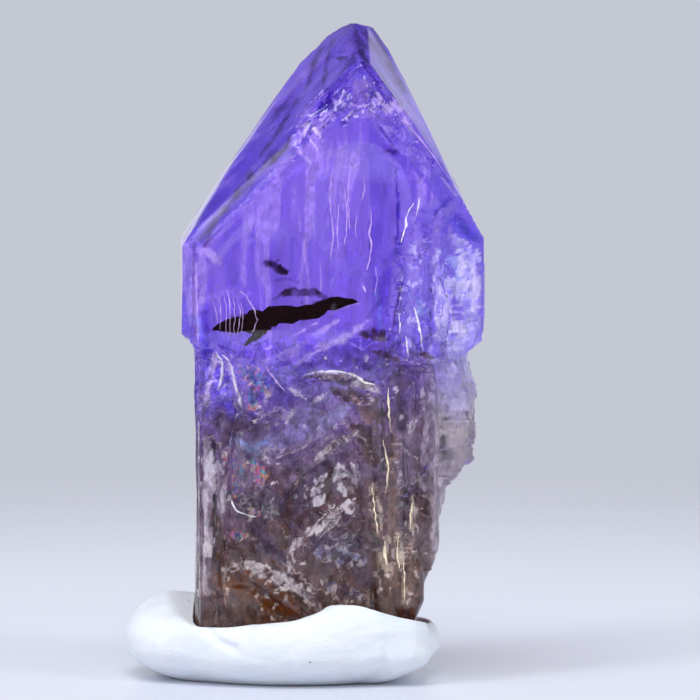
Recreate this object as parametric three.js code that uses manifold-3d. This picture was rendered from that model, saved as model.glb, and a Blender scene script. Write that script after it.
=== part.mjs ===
// A rough tanzanite crystal standing in a pad of white mounting putty.
// Millimetres, +Z up, the crystal's broad broken face towards -Y. The origin is on the surface
// that the putty rests on, under the middle of the object.
import * as THREE from "three";
import { mergeVertices } from "three/addons/utils/BufferGeometryUtils.js";
import Module from "manifold-3d";

const wasm = await Module();
wasm.setup();

// Driving dimensions
const CRYSTAL_TOP = 27.2;
const CRYSTAL_FOOT = 1.2;
const FRONT_FACE_Y = -3.8;
const BACK_FACE_Y = 4.3;
const SHAFT_FRONT_Y = -3.35;
const CAP_FOOT = 13.7;
const SOCKET_CLEARANCE = 0.3;
const PUTTY_UNDERSIDE = 0;

// Far more than the object's reach, for the boxes that cut flat faces
const BEYOND = 80;

// Faces of the violet cap: compass direction of the outward normal (0 is +X, 90 is +Y), how far
// the normal leans up, both in degrees, and a point that the face passes through.
const CAP_FACES = {
  front: { azimuth: 270, lean: 0, through: [0, FRONT_FACE_Y, 0] },
  back: { azimuth: 94, lean: 0, through: [1.4, BACK_FACE_Y, 0] },
  left: { azimuth: 184, lean: 0, through: [-4.92, 0, 0] },
  right: { azimuth: 0, lean: 0, through: [7.58, 0, 0] },
  front_right: { azimuth: 325, lean: 0, through: [7.58, -1.6, 0] },
  back_right: { azimuth: 50, lean: 0, through: [7.58, 0.6, 0] },
  back_left: { azimuth: 128, lean: 0, through: [-4.92, 0.9, 0] },
  front_left_slope: { azimuth: 207, lean: 42.8, through: [2.15, 0.9, 27.1] },
  left_slope: { azimuth: 182.7, lean: 34, through: [-5.0, 2.0, 18.35] },
  front_right_slope: { azimuth: 342.9, lean: 34.9, through: [2.7, -3.8, 25.1] },
  right_slope: { azimuth: 0, lean: 26.8, through: [4.0, 0, 25.42] },
  back_right_slope: { azimuth: 50, lean: 34, through: [3.2, 1.6, 26.7] },
  back_slope: { azimuth: 88, lean: 42, through: [2.2, 2.0, 26.9] },
  back_left_slope: { azimuth: 140, lean: 40, through: [0.2, 2.0, 26.1] },
  arch_left_bevel: { azimuth: 243.9, lean: 24.6, through: [0.12, -3.555, 22.55] },
  arch_right_bevel: { azimuth: 302.3, lean: 21.3, through: [4.85, -3.56, 21.84] },
  front_left_bevel: { azimuth: 215, lean: 0, through: [-4.45, FRONT_FACE_Y, 0] },
  tip_left: { azimuth: 199, lean: 60, through: [2.2, 1.0, CRYSTAL_TOP] },
  tip_right: { azimuth: 355, lean: 74, through: [2.3, 1.0, CRYSTAL_TOP] },
  tip_corner: { azimuth: 350, lean: 46, through: [3.05, 1.0, 26.96] },
  tip_top: { azimuth: 0, lean: 90, through: [0, 0, CRYSTAL_TOP] },
  foot: { azimuth: 100, lean: -84, through: [0, 0, CAP_FOOT] },
  foot_left: { azimuth: 182, lean: -38, through: [-4.92, 0, 14.4] },
  foot_right: { azimuth: 0, lean: -50, through: [7.58, 0, 14.1] },
};

// Faces of the smoky shaft below the cap
const SHAFT_FACES = {
  front: { azimuth: 270, lean: 0, through: [0, SHAFT_FRONT_Y, 0] },
  back: { azimuth: 88, lean: 0, through: [0, 3.8, 0] },
  left: { azimuth: 181, lean: -0.5, through: [-4.4, 0, 8] },
  right: { azimuth: 0, lean: 0, through: [4.6, 0, 0] },
  front_left: { azimuth: 228, lean: 0, through: [-4.4, -2.6, 0] },
  front_right: { azimuth: 318, lean: 0, through: [4.6, -2.4, 0] },
  back_left: { azimuth: 130, lean: 0, through: [-4.4, 0.7, 0] },
  back_right: { azimuth: 48, lean: 0, through: [4.6, 1.3, 0] },
  foot: { azimuth: 0, lean: -90, through: [0, 0, CRYSTAL_FOOT] },
  top: { azimuth: 0, lean: 90, through: [0, 0, CAP_FOOT + 2] },
};

// Faces round the crystal's whole foot, its ribs and terraces included
const FOOT_FACES = {
  ...SHAFT_FACES,
  front: { azimuth: 270, lean: 0, through: [0, FRONT_FACE_Y, 0] },
  back: { azimuth: 90, lean: 0, through: [0, 4.0, 0] },
  left: { azimuth: 180, lean: 0, through: [-4.45, 0, 0] },
  front_left: { azimuth: 228, lean: 0, through: [-4.45, -3.03, 0] },
  back_left: { azimuth: 130, lean: 0, through: [-4.75, 1.22, 0] },
};

// Faces of the pale side crystal that grew along the right of the shaft
const SIDE_FACES = {
  front: { azimuth: 282, lean: 0, through: [7.3, -2.3, 0] },
  back: { azimuth: 90, lean: 0, through: [0, 1.5, 0] },
  left: { azimuth: 180, lean: 0, through: [3.6, 0, 0] },
  right_upper: { azimuth: 0, lean: -3, through: [7.4, 0, 13.0] },
  right: { azimuth: 350, lean: 12, through: [7.62, -1.0, 9.9] },
  back_right: { azimuth: 40, lean: 0, through: [7.4, 0.5, 0] },
  foot_right: { azimuth: 0, lean: -42, through: [7.62, 0, 9.7] },
  foot: { azimuth: 0, lean: -90, through: [0, 0, 8.0] },
  top: { azimuth: 0, lean: 90, through: [0, 0, CAP_FOOT + 0.6] },
};

// Parallel growth columns: centre, radius, and the height of both ends. The first ones make the
// stepped right side of the shaft, the others are ribs along the front and left edges.
const COLUMNS = [
  { x: 5.2, y: -1.7, radius: 0.9, foot: 6.4, top: 14.6 },
  { x: 4.95, y: -2.5, radius: 0.85, foot: 4.7, top: 14.4 },
  { x: 4.3, y: -2.95, radius: 0.75, foot: 2.6, top: 14.3 },
  { x: 4.85, y: -0.6, radius: 0.95, foot: 4.3, top: 14.6 },
  { x: 4.55, y: 0.7, radius: 1.0, foot: 3.4, top: 14.6 },
  { x: 3.55, y: -3.15, radius: 0.5, foot: 1.4, top: 13.6 },
  { x: 3.05, y: -3.3, radius: 0.32, foot: 4.9, top: 9.6 },
  { x: -3.75, y: -2.95, radius: 0.5, foot: 1.3, top: 11.6 },
  { x: -3.85, y: -1.9, radius: 0.55, foot: 1.3, top: 14.4 },
  { x: -3.3, y: 1.7, radius: 0.55, foot: 1.3, top: 14.4 },
  { x: 1.5, y: 3.35, radius: 0.5, foot: 1.6, top: 14.6 },
  { x: 5.0, y: -3.3, radius: 0.6, foot: 13.0, top: 18.9 },
  { x: 7.13, y: -1.3, radius: 0.5, foot: 13.9, top: 17.9 },
];
const COLUMN_SIDES = 8;
const COLUMN_END_TAPER = 0.5;
const COLUMN_END_HEIGHT = 1.2;

// Flat terraces, each an outline of [x, z] points on the front and how far forward it stands
const FRONT_TERRACES = {
  cap_skirt: {
    front: FRONT_FACE_Y + 0.04,
    outline: [
      [-4.5, 16], [-4.75, 13.6], [-4.5, 11.3], [-3.3, 11.5], [-2.5, 13.2], [-1.0, 14.1], [1.4, 14.7],
      [3.3, 14.9], [3.8, 13.4], [5.0, 13.1], [5.9, 13.4], [6.3, 14.2], [6.1, 16],
    ],
  },
  window_rim: {
    front: FRONT_FACE_Y + 0.05,
    outline: [
      [-0.4, 12.8], [1.9, 13.2], [3.4, 12.7], [3.9, 11.5], [3.8, 9.4], [3.3, 9.5], [3.35, 11.1],
      [2.9, 12.0], [1.8, 12.5], [-0.2, 12.2],
    ],
  },
  middle_terrace: {
    front: FRONT_FACE_Y + 0.25,
    outline: [
      [-2.9, 10.6], [-1.2, 11.4], [1.0, 11.1], [2.2, 9.9], [0.6, 8.9], [-0.8, 7.6], [-2.2, 7.2], [-3.0, 8.3],
    ],
  },
  zigzag_ridge: {
    front: FRONT_FACE_Y - 0.05,
    outline: [
      [-0.5, 5.1], [-0.2, 5.9], [0.7, 6.7], [1.4, 7.7], [1.9, 9.0], [2.5, 8.8], [2.1, 7.3], [1.3, 6.3], [0.3, 5.2],
    ],
  },
  diagonal_ledge: {
    front: FRONT_FACE_Y,
    outline: [
      [-2.9, 5.4], [-2.2, 5.3], [-0.9, 4.4], [0.8, 3.1], [1.2, 2.2], [0.3, 2.4], [-1.4, 3.6], [-2.8, 4.5],
    ],
  },
  foot_terrace: {
    front: FRONT_FACE_Y + 0.2,
    outline: [[1.6, 1.4], [1.5, 3.0], [2.4, 4.2], [3.2, 6.0], [3.3, 1.4]],
  },
};

// Growth steps on the back face
const BACK_TERRACES = {
  broad_step: {
    back: BACK_FACE_Y + 0.25,
    outline: [[-0.9, 7.6], [-0.5, 6.8], [2.2, 6.6], [2.6, 7.4], [2.5, 19.8], [1.4, 20.8], [-0.6, 19.2]],
  },
  narrow_step: {
    back: BACK_FACE_Y + 0.45,
    outline: [[0.1, 10.8], [0.6, 10.2], [2.9, 10.9], [3.2, 12.0], [3.1, 18.8], [2.2, 19.6], [0.2, 18.0]],
  },
};
const TERRACE_ROOT = 1.2;

// Dishes left by shell-like fractures: centre and half sizes of the ellipsoid that fills each,
// and its turn about Y in degrees
const SCOOPS = [
  { at: [-1.9, -4.5, 17.6], half: [3.4, 0.85, 2.9], turn: 0 },
  { at: [2.5, -4.3, 19.6], half: [2.5, 0.95, 3.3], turn: -6 },
  { at: [-0.2, -3.95, 10.4], half: [2.3, 0.85, 1.1], turn: -26 },
  { at: [1.5, -3.9, 7.9], half: [1.2, 0.7, 0.9], turn: -35 },
  { at: [1.9, -3.9, 4.9], half: [1.4, 1.0, 2.2], turn: 24 },
  { at: [-1.9, -3.75, 7.0], half: [1.2, 0.6, 1.5], turn: 10 },
  { at: [-1.6, -3.9, 2.9], half: [2.2, 1.0, 1.0], turn: 36 },
  { at: [7.6, -2.2, 11.4], half: [0.6, 0.9, 0.9], turn: 0 },
  { at: [-4.7, -1.0, 9.0], half: [0.6, 1.6, 1.9], turn: 0 },
  { at: [-2.6, 4.1, 4.4], half: [1.9, 0.9, 2.1], turn: 20 },
  { at: [3.6, 4.3, 8.0], half: [1.5, 1.1, 2.4], turn: -15 },
  { at: [7.9, 1.6, 16.4], half: [0.8, 1.2, 1.4], turn: 0 },
];
const SCOOP_AROUND = 18;
const SCOOP_UP = 10;

// The chipped edge between the front face and the two front slopes, as [x, y, z] points
const ARCH_LINE = [
  [-4.3, -3.75, 18.3], [-2.4, -3.75, 20.1], [-0.6, -3.65, 21.85], [0.9, -3.6, 23.3], [1.9, -3.6, 24.2],
  [2.75, -3.45, 24.9], [3.9, -3.6, 23.3], [5.1, -3.7, 21.6], [6.2, -3.75, 20.2],
];
const CHIPS_PER_STRETCH = 2;
const CHIP_REACHES = [0.62, 0.4, 0.55, 0.74, 0.46];
const CHIP_SETBACKS = [0.0, 0.08, -0.12, 0.12, 0.04];

// The putty pad: half its length and depth, the height of its rim round the crystal, and the
// lobes that pressing left, each by its direction in degrees, how far round it reaches, and how
// much it pushes the outline out and the rim up
const PAD_CENTRE = [-0.865, 0.057];
const PAD_HALF_LENGTH = 6.5;
const PAD_HALF_DEPTH = 4.75;
const PAD_PLAN_POWER = 2.5;
const PAD_RIM = 3.0;
const PAD_MIDDLE_Z = 1.25;
const PAD_LOBES = [
  { direction: 168, spread: 32, out: 0.28, up: 0.75 },
  { direction: 215, spread: 24, out: 0.1, up: -0.35 },
  { direction: 290, spread: 30, out: 0.3, up: 0.35 },
  { direction: 350, spread: 24, out: 0.24, up: -0.15 },
  { direction: 60, spread: 38, out: 0.2, up: 0.3 },
];
const PAD_AROUND = 64;
const PAD_UP = 28;
const PAD_SQUARENESS = 0.72;

// A three.js geometry as a closed solid.
function solid(geometry) {
  const bare = geometry.clone();
  bare.deleteAttribute("normal");
  bare.deleteAttribute("uv");
  const merged = mergeVertices(bare, 1e-4);
  return new wasm.Manifold(
    new wasm.Mesh({
      numProp: 3,
      vertProperties: merged.attributes.position.array,
      triVerts: new Uint32Array(merged.index.array),
    }),
  );
}

// The outward normal of a face.
function normalOf({ azimuth, lean }) {
  const turn = THREE.MathUtils.degToRad(azimuth);
  const rise = THREE.MathUtils.degToRad(lean);
  return new THREE.Vector3(
    Math.cos(turn) * Math.cos(rise),
    Math.sin(turn) * Math.cos(rise),
    Math.sin(rise),
  );
}

// Everything outside a face, as a box with one side on it. The face may be moved out by grow.
function outside(face, grow) {
  const normal = normalOf(face);
  const facing = new THREE.Quaternion().setFromUnitVectors(new THREE.Vector3(0, 0, 1), normal);
  const centre = new THREE.Vector3(...face.through).addScaledVector(normal, grow + BEYOND / 2);
  const box = new THREE.BoxGeometry(BEYOND, BEYOND, BEYOND);
  box.applyQuaternion(facing);
  box.translate(centre.x, centre.y, centre.z);
  return solid(box);
}

// A convex block bounded by named flat faces.
function block(faces, grow = 0) {
  const start = solid(new THREE.BoxGeometry(BEYOND, BEYOND, BEYOND));
  return Object.values(faces).reduce((body, face) => body.subtract(outside(face, grow)), start);
}

// One growth column, many-sided, narrowing at both ends.
function column({ x, y, radius, foot, top }) {
  const height = top - foot;
  const shaft = new THREE.CylinderGeometry(radius, radius, height, COLUMN_SIDES, 3);
  shaft.rotateX(Math.PI / 2);
  const position = shaft.attributes.position;
  for (let i = 0; i < position.count; i++) {
    const level = position.getZ(i) / height;
    if (Math.abs(level) > 0.4) {
      position.setX(i, position.getX(i) * COLUMN_END_TAPER);
      position.setY(i, position.getY(i) * COLUMN_END_TAPER);
    } else {
      position.setZ(i, Math.sign(level) * (height / 2 - radius * COLUMN_END_HEIGHT));
    }
  }
  shaft.translate(x, y, (top + foot) / 2);
  return solid(shaft);
}

// A flat-topped terrace from its outline in X and Z, reaching from one depth to another.
function terrace(outline, near, far) {
  const shape = new THREE.Shape(outline.map(([x, z]) => new THREE.Vector2(x, z)));
  const slab = new THREE.ExtrudeGeometry(shape, { depth: far - near, bevelEnabled: false });
  slab.rotateX(Math.PI / 2);
  slab.translate(0, far, 0);
  return solid(slab);
}

// An ellipsoid that a shell-like fracture took away.
function scoop({ at, half, turn }) {
  const ball = new THREE.SphereGeometry(1, SCOOP_AROUND, SCOOP_UP);
  ball.rotateX(Math.PI / 2);
  ball.scale(...half);
  ball.rotateY(THREE.MathUtils.degToRad(turn));
  ball.translate(...at);
  return solid(ball);
}

// The angular chips along the arched edge, each a turned dodecahedron.
function chips() {
  const bites = [];
  for (let i = 1; i < ARCH_LINE.length; i++) {
    const from = new THREE.Vector3(...ARCH_LINE[i - 1]);
    const to = new THREE.Vector3(...ARCH_LINE[i]);
    const spacing = from.distanceTo(to) / CHIPS_PER_STRETCH;
    for (let j = 0; j < CHIPS_PER_STRETCH; j++) {
      const count = i * CHIPS_PER_STRETCH + j;
      const size = spacing * CHIP_REACHES[count % CHIP_REACHES.length];
      const setback = CHIP_SETBACKS[count % CHIP_SETBACKS.length];
      const at = from.clone().lerp(to, (j + 0.5) / CHIPS_PER_STRETCH);
      const bite = new THREE.DodecahedronGeometry(size);
      bite.rotateY(count * 1.1);
      bite.rotateX(count * 0.7);
      bite.translate(at.x, at.y + setback, at.z + setback);
      bites.push(solid(bite));
    }
  }
  return bites;
}

// The crystal: cap, shaft, side crystal, columns and terraces grown together, then broken.
function crystal() {
  let grown = block(CAP_FACES).add(block(SHAFT_FACES)).add(block(SIDE_FACES));
  for (const one of COLUMNS) grown = grown.add(column(one));
  for (const { outline, front } of Object.values(FRONT_TERRACES)) {
    grown = grown.add(terrace(outline, front, front + TERRACE_ROOT));
  }
  for (const { outline, back } of Object.values(BACK_TERRACES)) {
    grown = grown.add(terrace(outline, back - TERRACE_ROOT, back));
  }
  for (const one of SCOOPS) grown = grown.subtract(scoop(one));
  for (const bite of chips()) grown = grown.subtract(bite);
  return grown;
}

// How strongly a lobe of the pad acts in a direction, from 0 to 1.
function lobeAt({ direction, spread }, degrees) {
  const apart = THREE.MathUtils.euclideanModulo(degrees - direction + 180, 360) - 180;
  return Math.exp(-((apart / spread) ** 2));
}

// The putty pad: a squarish cushion, flat underneath, with a socket for the crystal's foot.
function puttyPad() {
  const pad = new THREE.SphereGeometry(1, PAD_AROUND, PAD_UP);
  pad.rotateX(Math.PI / 2);
  const position = pad.attributes.position;
  for (let i = 0; i < position.count; i++) {
    const level = THREE.MathUtils.clamp(position.getZ(i), -1, 1);
    const turn = Math.atan2(position.getY(i), position.getX(i));
    const degrees = THREE.MathUtils.radToDeg(turn);
    let outward = Math.sqrt(1 - level ** 2) ** PAD_SQUARENESS;
    let rim = PAD_RIM - PAD_MIDDLE_Z;
    for (const lobe of PAD_LOBES) {
      rim += lobe.up * lobeAt(lobe, degrees);
    }
    const swell = PAD_LOBES.reduce((sum, lobe) => sum + lobe.out * lobeAt(lobe, degrees), 0);
    const squareness = Math.hypot(
      Math.abs(Math.cos(turn)) ** (PAD_PLAN_POWER / 2),
      Math.abs(Math.sin(turn)) ** (PAD_PLAN_POWER / 2),
    ) ** (2 / PAD_PLAN_POWER);
    position.setXYZ(
      i,
      PAD_CENTRE[0] + (outward / squareness) * (PAD_HALF_LENGTH + swell) * Math.cos(turn),
      PAD_CENTRE[1] + (outward / squareness) * (PAD_HALF_DEPTH + swell) * Math.sin(turn),
      PAD_MIDDLE_Z + Math.sign(level) * Math.abs(level) ** PAD_SQUARENESS * (level > 0 ? rim : PAD_RIM),
    );
  }
  const floor = { azimuth: 0, lean: -90, through: [0, 0, PUTTY_UNDERSIDE] };
  return solid(pad).subtract(outside(floor, 0)).subtract(block(FOOT_FACES, SOCKET_CLEARANCE));
}

// A closed solid as a named mesh.
function meshOf(name, body, material) {
  const { vertProperties, triVerts } = body.getMesh();
  const geometry = new THREE.BufferGeometry();
  geometry.setAttribute("position", new THREE.BufferAttribute(vertProperties, 3));
  geometry.setIndex(new THREE.BufferAttribute(triVerts, 1));
  geometry.computeVertexNormals();
  const mesh = new THREE.Mesh(geometry, material);
  mesh.name = name;
  return mesh;
}

const tanzanite = new THREE.MeshStandardMaterial({ color: 0x6a50d8, roughness: 0.08, metalness: 0 });
const putty = new THREE.MeshStandardMaterial({ color: 0xe9eef2, roughness: 0.7, metalness: 0 });

const specimen = new THREE.Group();
specimen.add(meshOf("tanzanite_crystal", crystal(), tanzanite));
specimen.add(meshOf("putty_base", puttyPad(), putty));

export default specimen;
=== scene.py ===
import bpy
import numpy as np
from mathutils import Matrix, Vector


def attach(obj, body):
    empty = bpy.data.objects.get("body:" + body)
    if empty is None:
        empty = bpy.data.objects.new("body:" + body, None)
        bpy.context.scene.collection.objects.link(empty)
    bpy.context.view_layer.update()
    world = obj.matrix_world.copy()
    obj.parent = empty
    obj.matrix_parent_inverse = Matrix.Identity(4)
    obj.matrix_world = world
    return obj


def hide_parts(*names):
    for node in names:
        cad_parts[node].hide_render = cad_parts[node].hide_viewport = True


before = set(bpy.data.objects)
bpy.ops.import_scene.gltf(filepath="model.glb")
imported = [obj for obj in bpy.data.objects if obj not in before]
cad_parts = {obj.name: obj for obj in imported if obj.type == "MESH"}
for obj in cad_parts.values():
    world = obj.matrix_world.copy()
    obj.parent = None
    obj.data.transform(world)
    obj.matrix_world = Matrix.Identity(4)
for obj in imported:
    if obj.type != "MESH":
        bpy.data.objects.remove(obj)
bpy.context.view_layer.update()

MM = 0.001

# The camera looks at the broken front a little from above, from far off through a long lens, as
# a close-up of a thumb-sized specimen is taken.
CAMERA_DISTANCE = 200 * MM
CAMERA_RISE = np.radians(4.0)
VIEW_WIDTH = 29.17 * MM
VIEW_CENTRE = Vector((2.04, 0.0, 13.62)) * MM
SENSOR = 36.0
PICTURE = 700
# One pixel's width at a distance of 1
PIXEL = VIEW_WIDTH / CAMERA_DISTANCE / PICTURE

camera_data = bpy.data.cameras.new("camera")
camera_data.sensor_width = SENSOR
camera_data.lens = SENSOR * CAMERA_DISTANCE / VIEW_WIDTH
camera_data.clip_start = 0.01
camera_data.clip_end = 3.0
camera = bpy.data.objects.new("camera", camera_data)
camera_back = Vector((0.0, -np.cos(CAMERA_RISE), np.sin(CAMERA_RISE)))
camera.location = VIEW_CENTRE + camera_back * CAMERA_DISTANCE
camera.rotation_euler = (-camera_back).to_track_quat("-Z", "Y").to_euler()
bpy.context.scene.collection.objects.link(camera)
bpy.context.scene.camera = camera
bpy.context.scene.view_settings.view_transform = "Standard"


# The stage is a pale sheet under the specimen, which fades into a pale cool backdrop, and three
# soft lights: a broad one overhead, the only one that glossy faces mirror, and one at each side.
FLOOR_RADIUS = 95 * MM
FLOOR_SOLID_TO = 30 * MM
FLOOR_DROP = 0.02 * MM
FLOOR_RINGS = 24
FLOOR_AROUND = 96
FLOOR_COLOUR = (0.70, 0.725, 0.82, 1)
BACKDROP_COLOUR = (0.55, 0.575, 0.65, 1)
STUDIO_STRENGTH = 1.0
STUDIO_FRONT = (0.06, 0.06, 0.07, 1)
STUDIO_SIDES = (0.46, 0.48, 0.56, 1)
STUDIO_BACK = (0.82, 0.82, 0.86, 1)
STUDIO_TOP = (0.10, 0.10, 0.13, 1)
# Where one tone of the studio passes into the next, as a direction's shares along Y and Z
FRONT_TO_SIDES_Y = (-0.96, -0.6)
SIDES_TO_BACK_Y = (0.74, 0.97)
TO_TOP_Y = (0.2, 0.6)
TO_TOP_Z = (0.32, 0.48)
# Places and sizes in millimetres
LIGHTS = {
    "overhead": {"at": (-30, -100, 250), "size": (200, 140), "watts": 0.45, "mirrored": True},
    "left_side": {"at": (-240, -180, 120), "size": (70, 220), "watts": 0.42, "mirrored": False},
    "right_side": {"at": (250, -150, 110), "size": (60, 220), "watts": 0.34, "mirrored": False},
}


def link(name, data):
    """Puts a new object into the scene."""
    made = bpy.data.objects.new(name, data)
    bpy.context.scene.collection.objects.link(made)
    return made


def tubes(name, grids):
    """A new smooth piece of one or more tubes. Each is an array of rows x columns x 3 in metres,
    of which every row closes on itself, with the two points that close its ends, or None if the
    ends stay open."""
    vertices, faces, count = [], [], 0
    for points, poles in grids:
        rows, columns = points.shape[:2]
        corner = count + np.arange(rows * columns).reshape(rows, columns)
        following = np.roll(corner, -1, axis=1)
        quads = np.stack([corner[:-1], following[:-1], following[1:], corner[1:]], axis=-1)
        faces += quads.reshape(-1, 4).tolist()
        vertices.append(points.reshape(-1, 3))
        count += rows * columns
        if poles is not None:
            low_fan = np.stack([np.full(columns, count), following[0], corner[0]], axis=-1)
            high_fan = np.stack([np.full(columns, count + 1), corner[-1], following[-1]], axis=-1)
            faces += low_fan.tolist() + high_fan.tolist()
            vertices.append(poles)
            count += 2
    mesh = bpy.data.meshes.new(name)
    mesh.from_pydata(np.vstack(vertices).tolist(), [], faces)
    mesh.polygons.foreach_set("use_smooth", np.ones(len(faces), dtype=bool))
    mesh.update()
    return link(name, mesh)


def material_of(name):
    """A new node material, with its node tree and its surface shader."""
    made = bpy.data.materials.new(name)
    made.use_nodes = True
    return made, made.node_tree, made.node_tree.nodes["Principled BSDF"]


def fill(tree, made, inputs):
    """Fills a node's inputs by name or number. An input that is another node's socket is linked,
    and any other value is set."""
    for key, value in inputs.items():
        if isinstance(value, bpy.types.NodeSocket):
            tree.links.new(value, made.inputs[key])
        else:
            made.inputs[key].default_value = value


def node(tree, kind, inputs=None, **settings):
    """Adds a shader node, sets its own properties and fills its inputs."""
    made = tree.nodes.new(kind)
    for key, value in settings.items():
        setattr(made, key, value)
    fill(tree, made, inputs or {})
    return made


def math_node(tree, operation, first, second):
    """The result of one arithmetic step on sockets or numbers."""
    return node(tree, "ShaderNodeMath", {0: first, 1: second}, operation=operation).outputs[0]


def times(tree, vector, factors):
    """A vector of which each part is multiplied by a factor of its own."""
    made = node(tree, "ShaderNodeVectorMath", {0: vector, 1: factors}, operation="MULTIPLY")
    return made.outputs[0]


def mix_colour(tree, share, first, second, blend="MIX"):
    """Two colours mixed by a share from 0 to 1."""
    inputs = {"Factor": share, 6: first, 7: second}
    return node(tree, "ShaderNodeMix", inputs, data_type="RGBA", blend_type=blend).outputs[2]


def between(tree, value, start, end):
    """0 below start, 1 above end and a smooth rise in between, or the reverse if end is lower."""
    low, high = min(start, end), max(start, end)
    at_low, at_high = (0.0, 1.0) if end > start else (1.0, 0.0)
    inputs = {"Value": value, "From Min": low, "From Max": high, "To Min": at_low, "To Max": at_high}
    return node(tree, "ShaderNodeMapRange", inputs, interpolation_type="SMOOTHSTEP").outputs[0]


def place_in_mm(tree):
    """The place on the piece in millimetres."""
    place = node(tree, "ShaderNodeTexCoord").outputs["Object"]
    return times(tree, place, (1 / MM, 1 / MM, 1 / MM))


floor_rings = np.linspace(0.02, 1, FLOOR_RINGS)[:, None] * FLOOR_RADIUS
floor_turn = np.linspace(0, 2 * np.pi, FLOOR_AROUND, endpoint=False)[None, :]
floor_x, floor_y = floor_rings * np.cos(floor_turn), floor_rings * np.sin(floor_turn)
floor = tubes("floor", [(np.stack([floor_x, floor_y, np.full_like(floor_x, -FLOOR_DROP)], axis=-1), None)])
floor_material, tree, shader = material_of("floor")
floor_reach = node(tree, "ShaderNodeVectorMath", {0: place_in_mm(tree)}, operation="LENGTH").outputs["Value"]
fill(tree, shader, {
    "Alpha": between(tree, floor_reach, FLOOR_RADIUS / MM, FLOOR_SOLID_TO / MM),
    "Base Color": FLOOR_COLOUR,
    "Roughness": 0.3,
    "Specular IOR Level": 0.4,
})
floor.data.materials.append(floor_material)

world = bpy.data.worlds.new("studio")
bpy.context.scene.world = world
world.use_nodes = True
tree = world.node_tree
direction = node(tree, "ShaderNodeTexCoord").outputs["Generated"]
toward = node(tree, "ShaderNodeSeparateXYZ", {0: direction}).outputs
studio = mix_colour(tree, between(tree, toward[1], *FRONT_TO_SIDES_Y), STUDIO_FRONT, STUDIO_SIDES)
studio = mix_colour(tree, between(tree, toward[1], *SIDES_TO_BACK_Y), studio, STUDIO_BACK)
above_behind = math_node(tree, "MULTIPLY", between(tree, toward[2], *TO_TOP_Z),
                         between(tree, toward[1], *TO_TOP_Y))
studio = mix_colour(tree, above_behind, studio, STUDIO_TOP)
# the camera sees the plain backdrop, and the stone sees the studio
seen = node(tree, "ShaderNodeLightPath").outputs["Is Camera Ray"]
studio = mix_colour(tree, seen, studio, BACKDROP_COLOUR)
fill(tree, tree.nodes["Background"], {"Color": studio, "Strength": STUDIO_STRENGTH})

for name, light in LIGHTS.items():
    data = bpy.data.lights.new(name, "AREA")
    data.shape = "RECTANGLE"
    data.size, data.size_y = (side * MM for side in light["size"])
    data.energy = light["watts"]
    lamp = link(name, data)
    lamp.location = Vector(light["at"]) * MM
    lamp.rotation_euler = (VIEW_CENTRE - lamp.location).to_track_quat("-Z", "Y").to_euler()
    lamp.visible_glossy = light["mirrored"]


# The crystal is one natural zoisite prism: a clear violet cap with a pointed end, a smoky shaft
# full of old fractures, growth columns down its right side, and a pale side crystal. Its broad
# front is a fresh break, with a chipped edge, ledges and shell-like hollows.
TOP_Z = 27.2
FOOT_Z = 1.2
FRONT_Y = -3.8
SHAFT_FRONT_Y = -3.35
BACK_Y = 4.3

# Each face is its compass direction, its lean upwards, both in degrees, and a point on it
CAP_FACES = {
    "front": (270, 0, (0, FRONT_Y, 0)),
    "back": (94, 0, (1.4, BACK_Y, 0)),
    "left": (181.5, 0, (-4.96, 0, 0)),
    "right": (0, 0, (7.58, 0, 0)),
    "front_right": (325, 0, (7.58, -1.6, 0)),
    "back_right": (50, 0, (7.58, 0.6, 0)),
    "back_left": (128, 0, (-4.92, 0.9, 0)),
    "front_left_slope": (207, 42.8, (2.15, 0.9, 27.1)),
    "left_slope": (182.7, 34, (-5.0, 2.0, 18.35)),
    "front_right_slope": (342.9, 34.9, (2.7, -3.8, 25.1)),
    "right_slope": (0, 26.8, (4.0, 0, 25.42)),
    "back_right_slope": (50, 34, (3.2, 1.6, 26.7)),
    "back_slope": (88, 42, (2.2, 2.0, 26.9)),
    "back_left_slope": (140, 40, (0.2, 2.0, 26.1)),
    "arch_top_bevel": (268, 24, (2.5, FRONT_Y, 24.75)),
    "arch_left_bevel": (243.9, 24.6, (0.12, -3.555, 22.55)),
    "arch_right_bevel": (302.3, 21.3, (4.85, -3.56, 21.84)),
    "front_left_bevel": (215, 0, (-4.45, FRONT_Y, 0)),
    "ridge_left": (233.8, 59.7, (2.495, -1.911, 25.99)),
    "ridge": (282.8, 64.8, (2.4, -1.867, 25.89)),
    "ridge_right": (322.7, 53.7, (2.327, -1.921, 26.0)),
    "tip_left": (199, 60, (2.2, 1.0, TOP_Z)),
    "tip_right": (355, 74, (2.3, 1.0, TOP_Z)),
    "tip_corner": (350, 46, (3.05, 1.0, 26.96)),
    "tip_top": (0, 90, (0, 0, TOP_Z)),
    "foot": (100, -84, (0, 0, 13.7)),
    "foot_left": (182, -38, (-4.92, 0, 14.4)),
    "foot_right": (0, -50, (7.58, 0, 14.1)),
}
SHAFT_FACES = {
    "front": (270, 0, (0, SHAFT_FRONT_Y, 0)),
    "back": (88, 0, (0, 3.8, 0)),
    "left": (181, -0.5, (-4.4, 0, 8)),
    "right": (0, 0, (4.6, 0, 0)),
    "front_left": (228, 0, (-4.4, -2.6, 0)),
    "front_right": (318, 0, (4.6, -2.4, 0)),
    "back_left": (130, 0, (-4.4, 0.7, 0)),
    "back_right": (48, 0, (4.6, 1.3, 0)),
    "foot": (0, -90, (0, 0, FOOT_Z)),
    "top": (0, 90, (0, 0, 15.7)),
}
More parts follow.
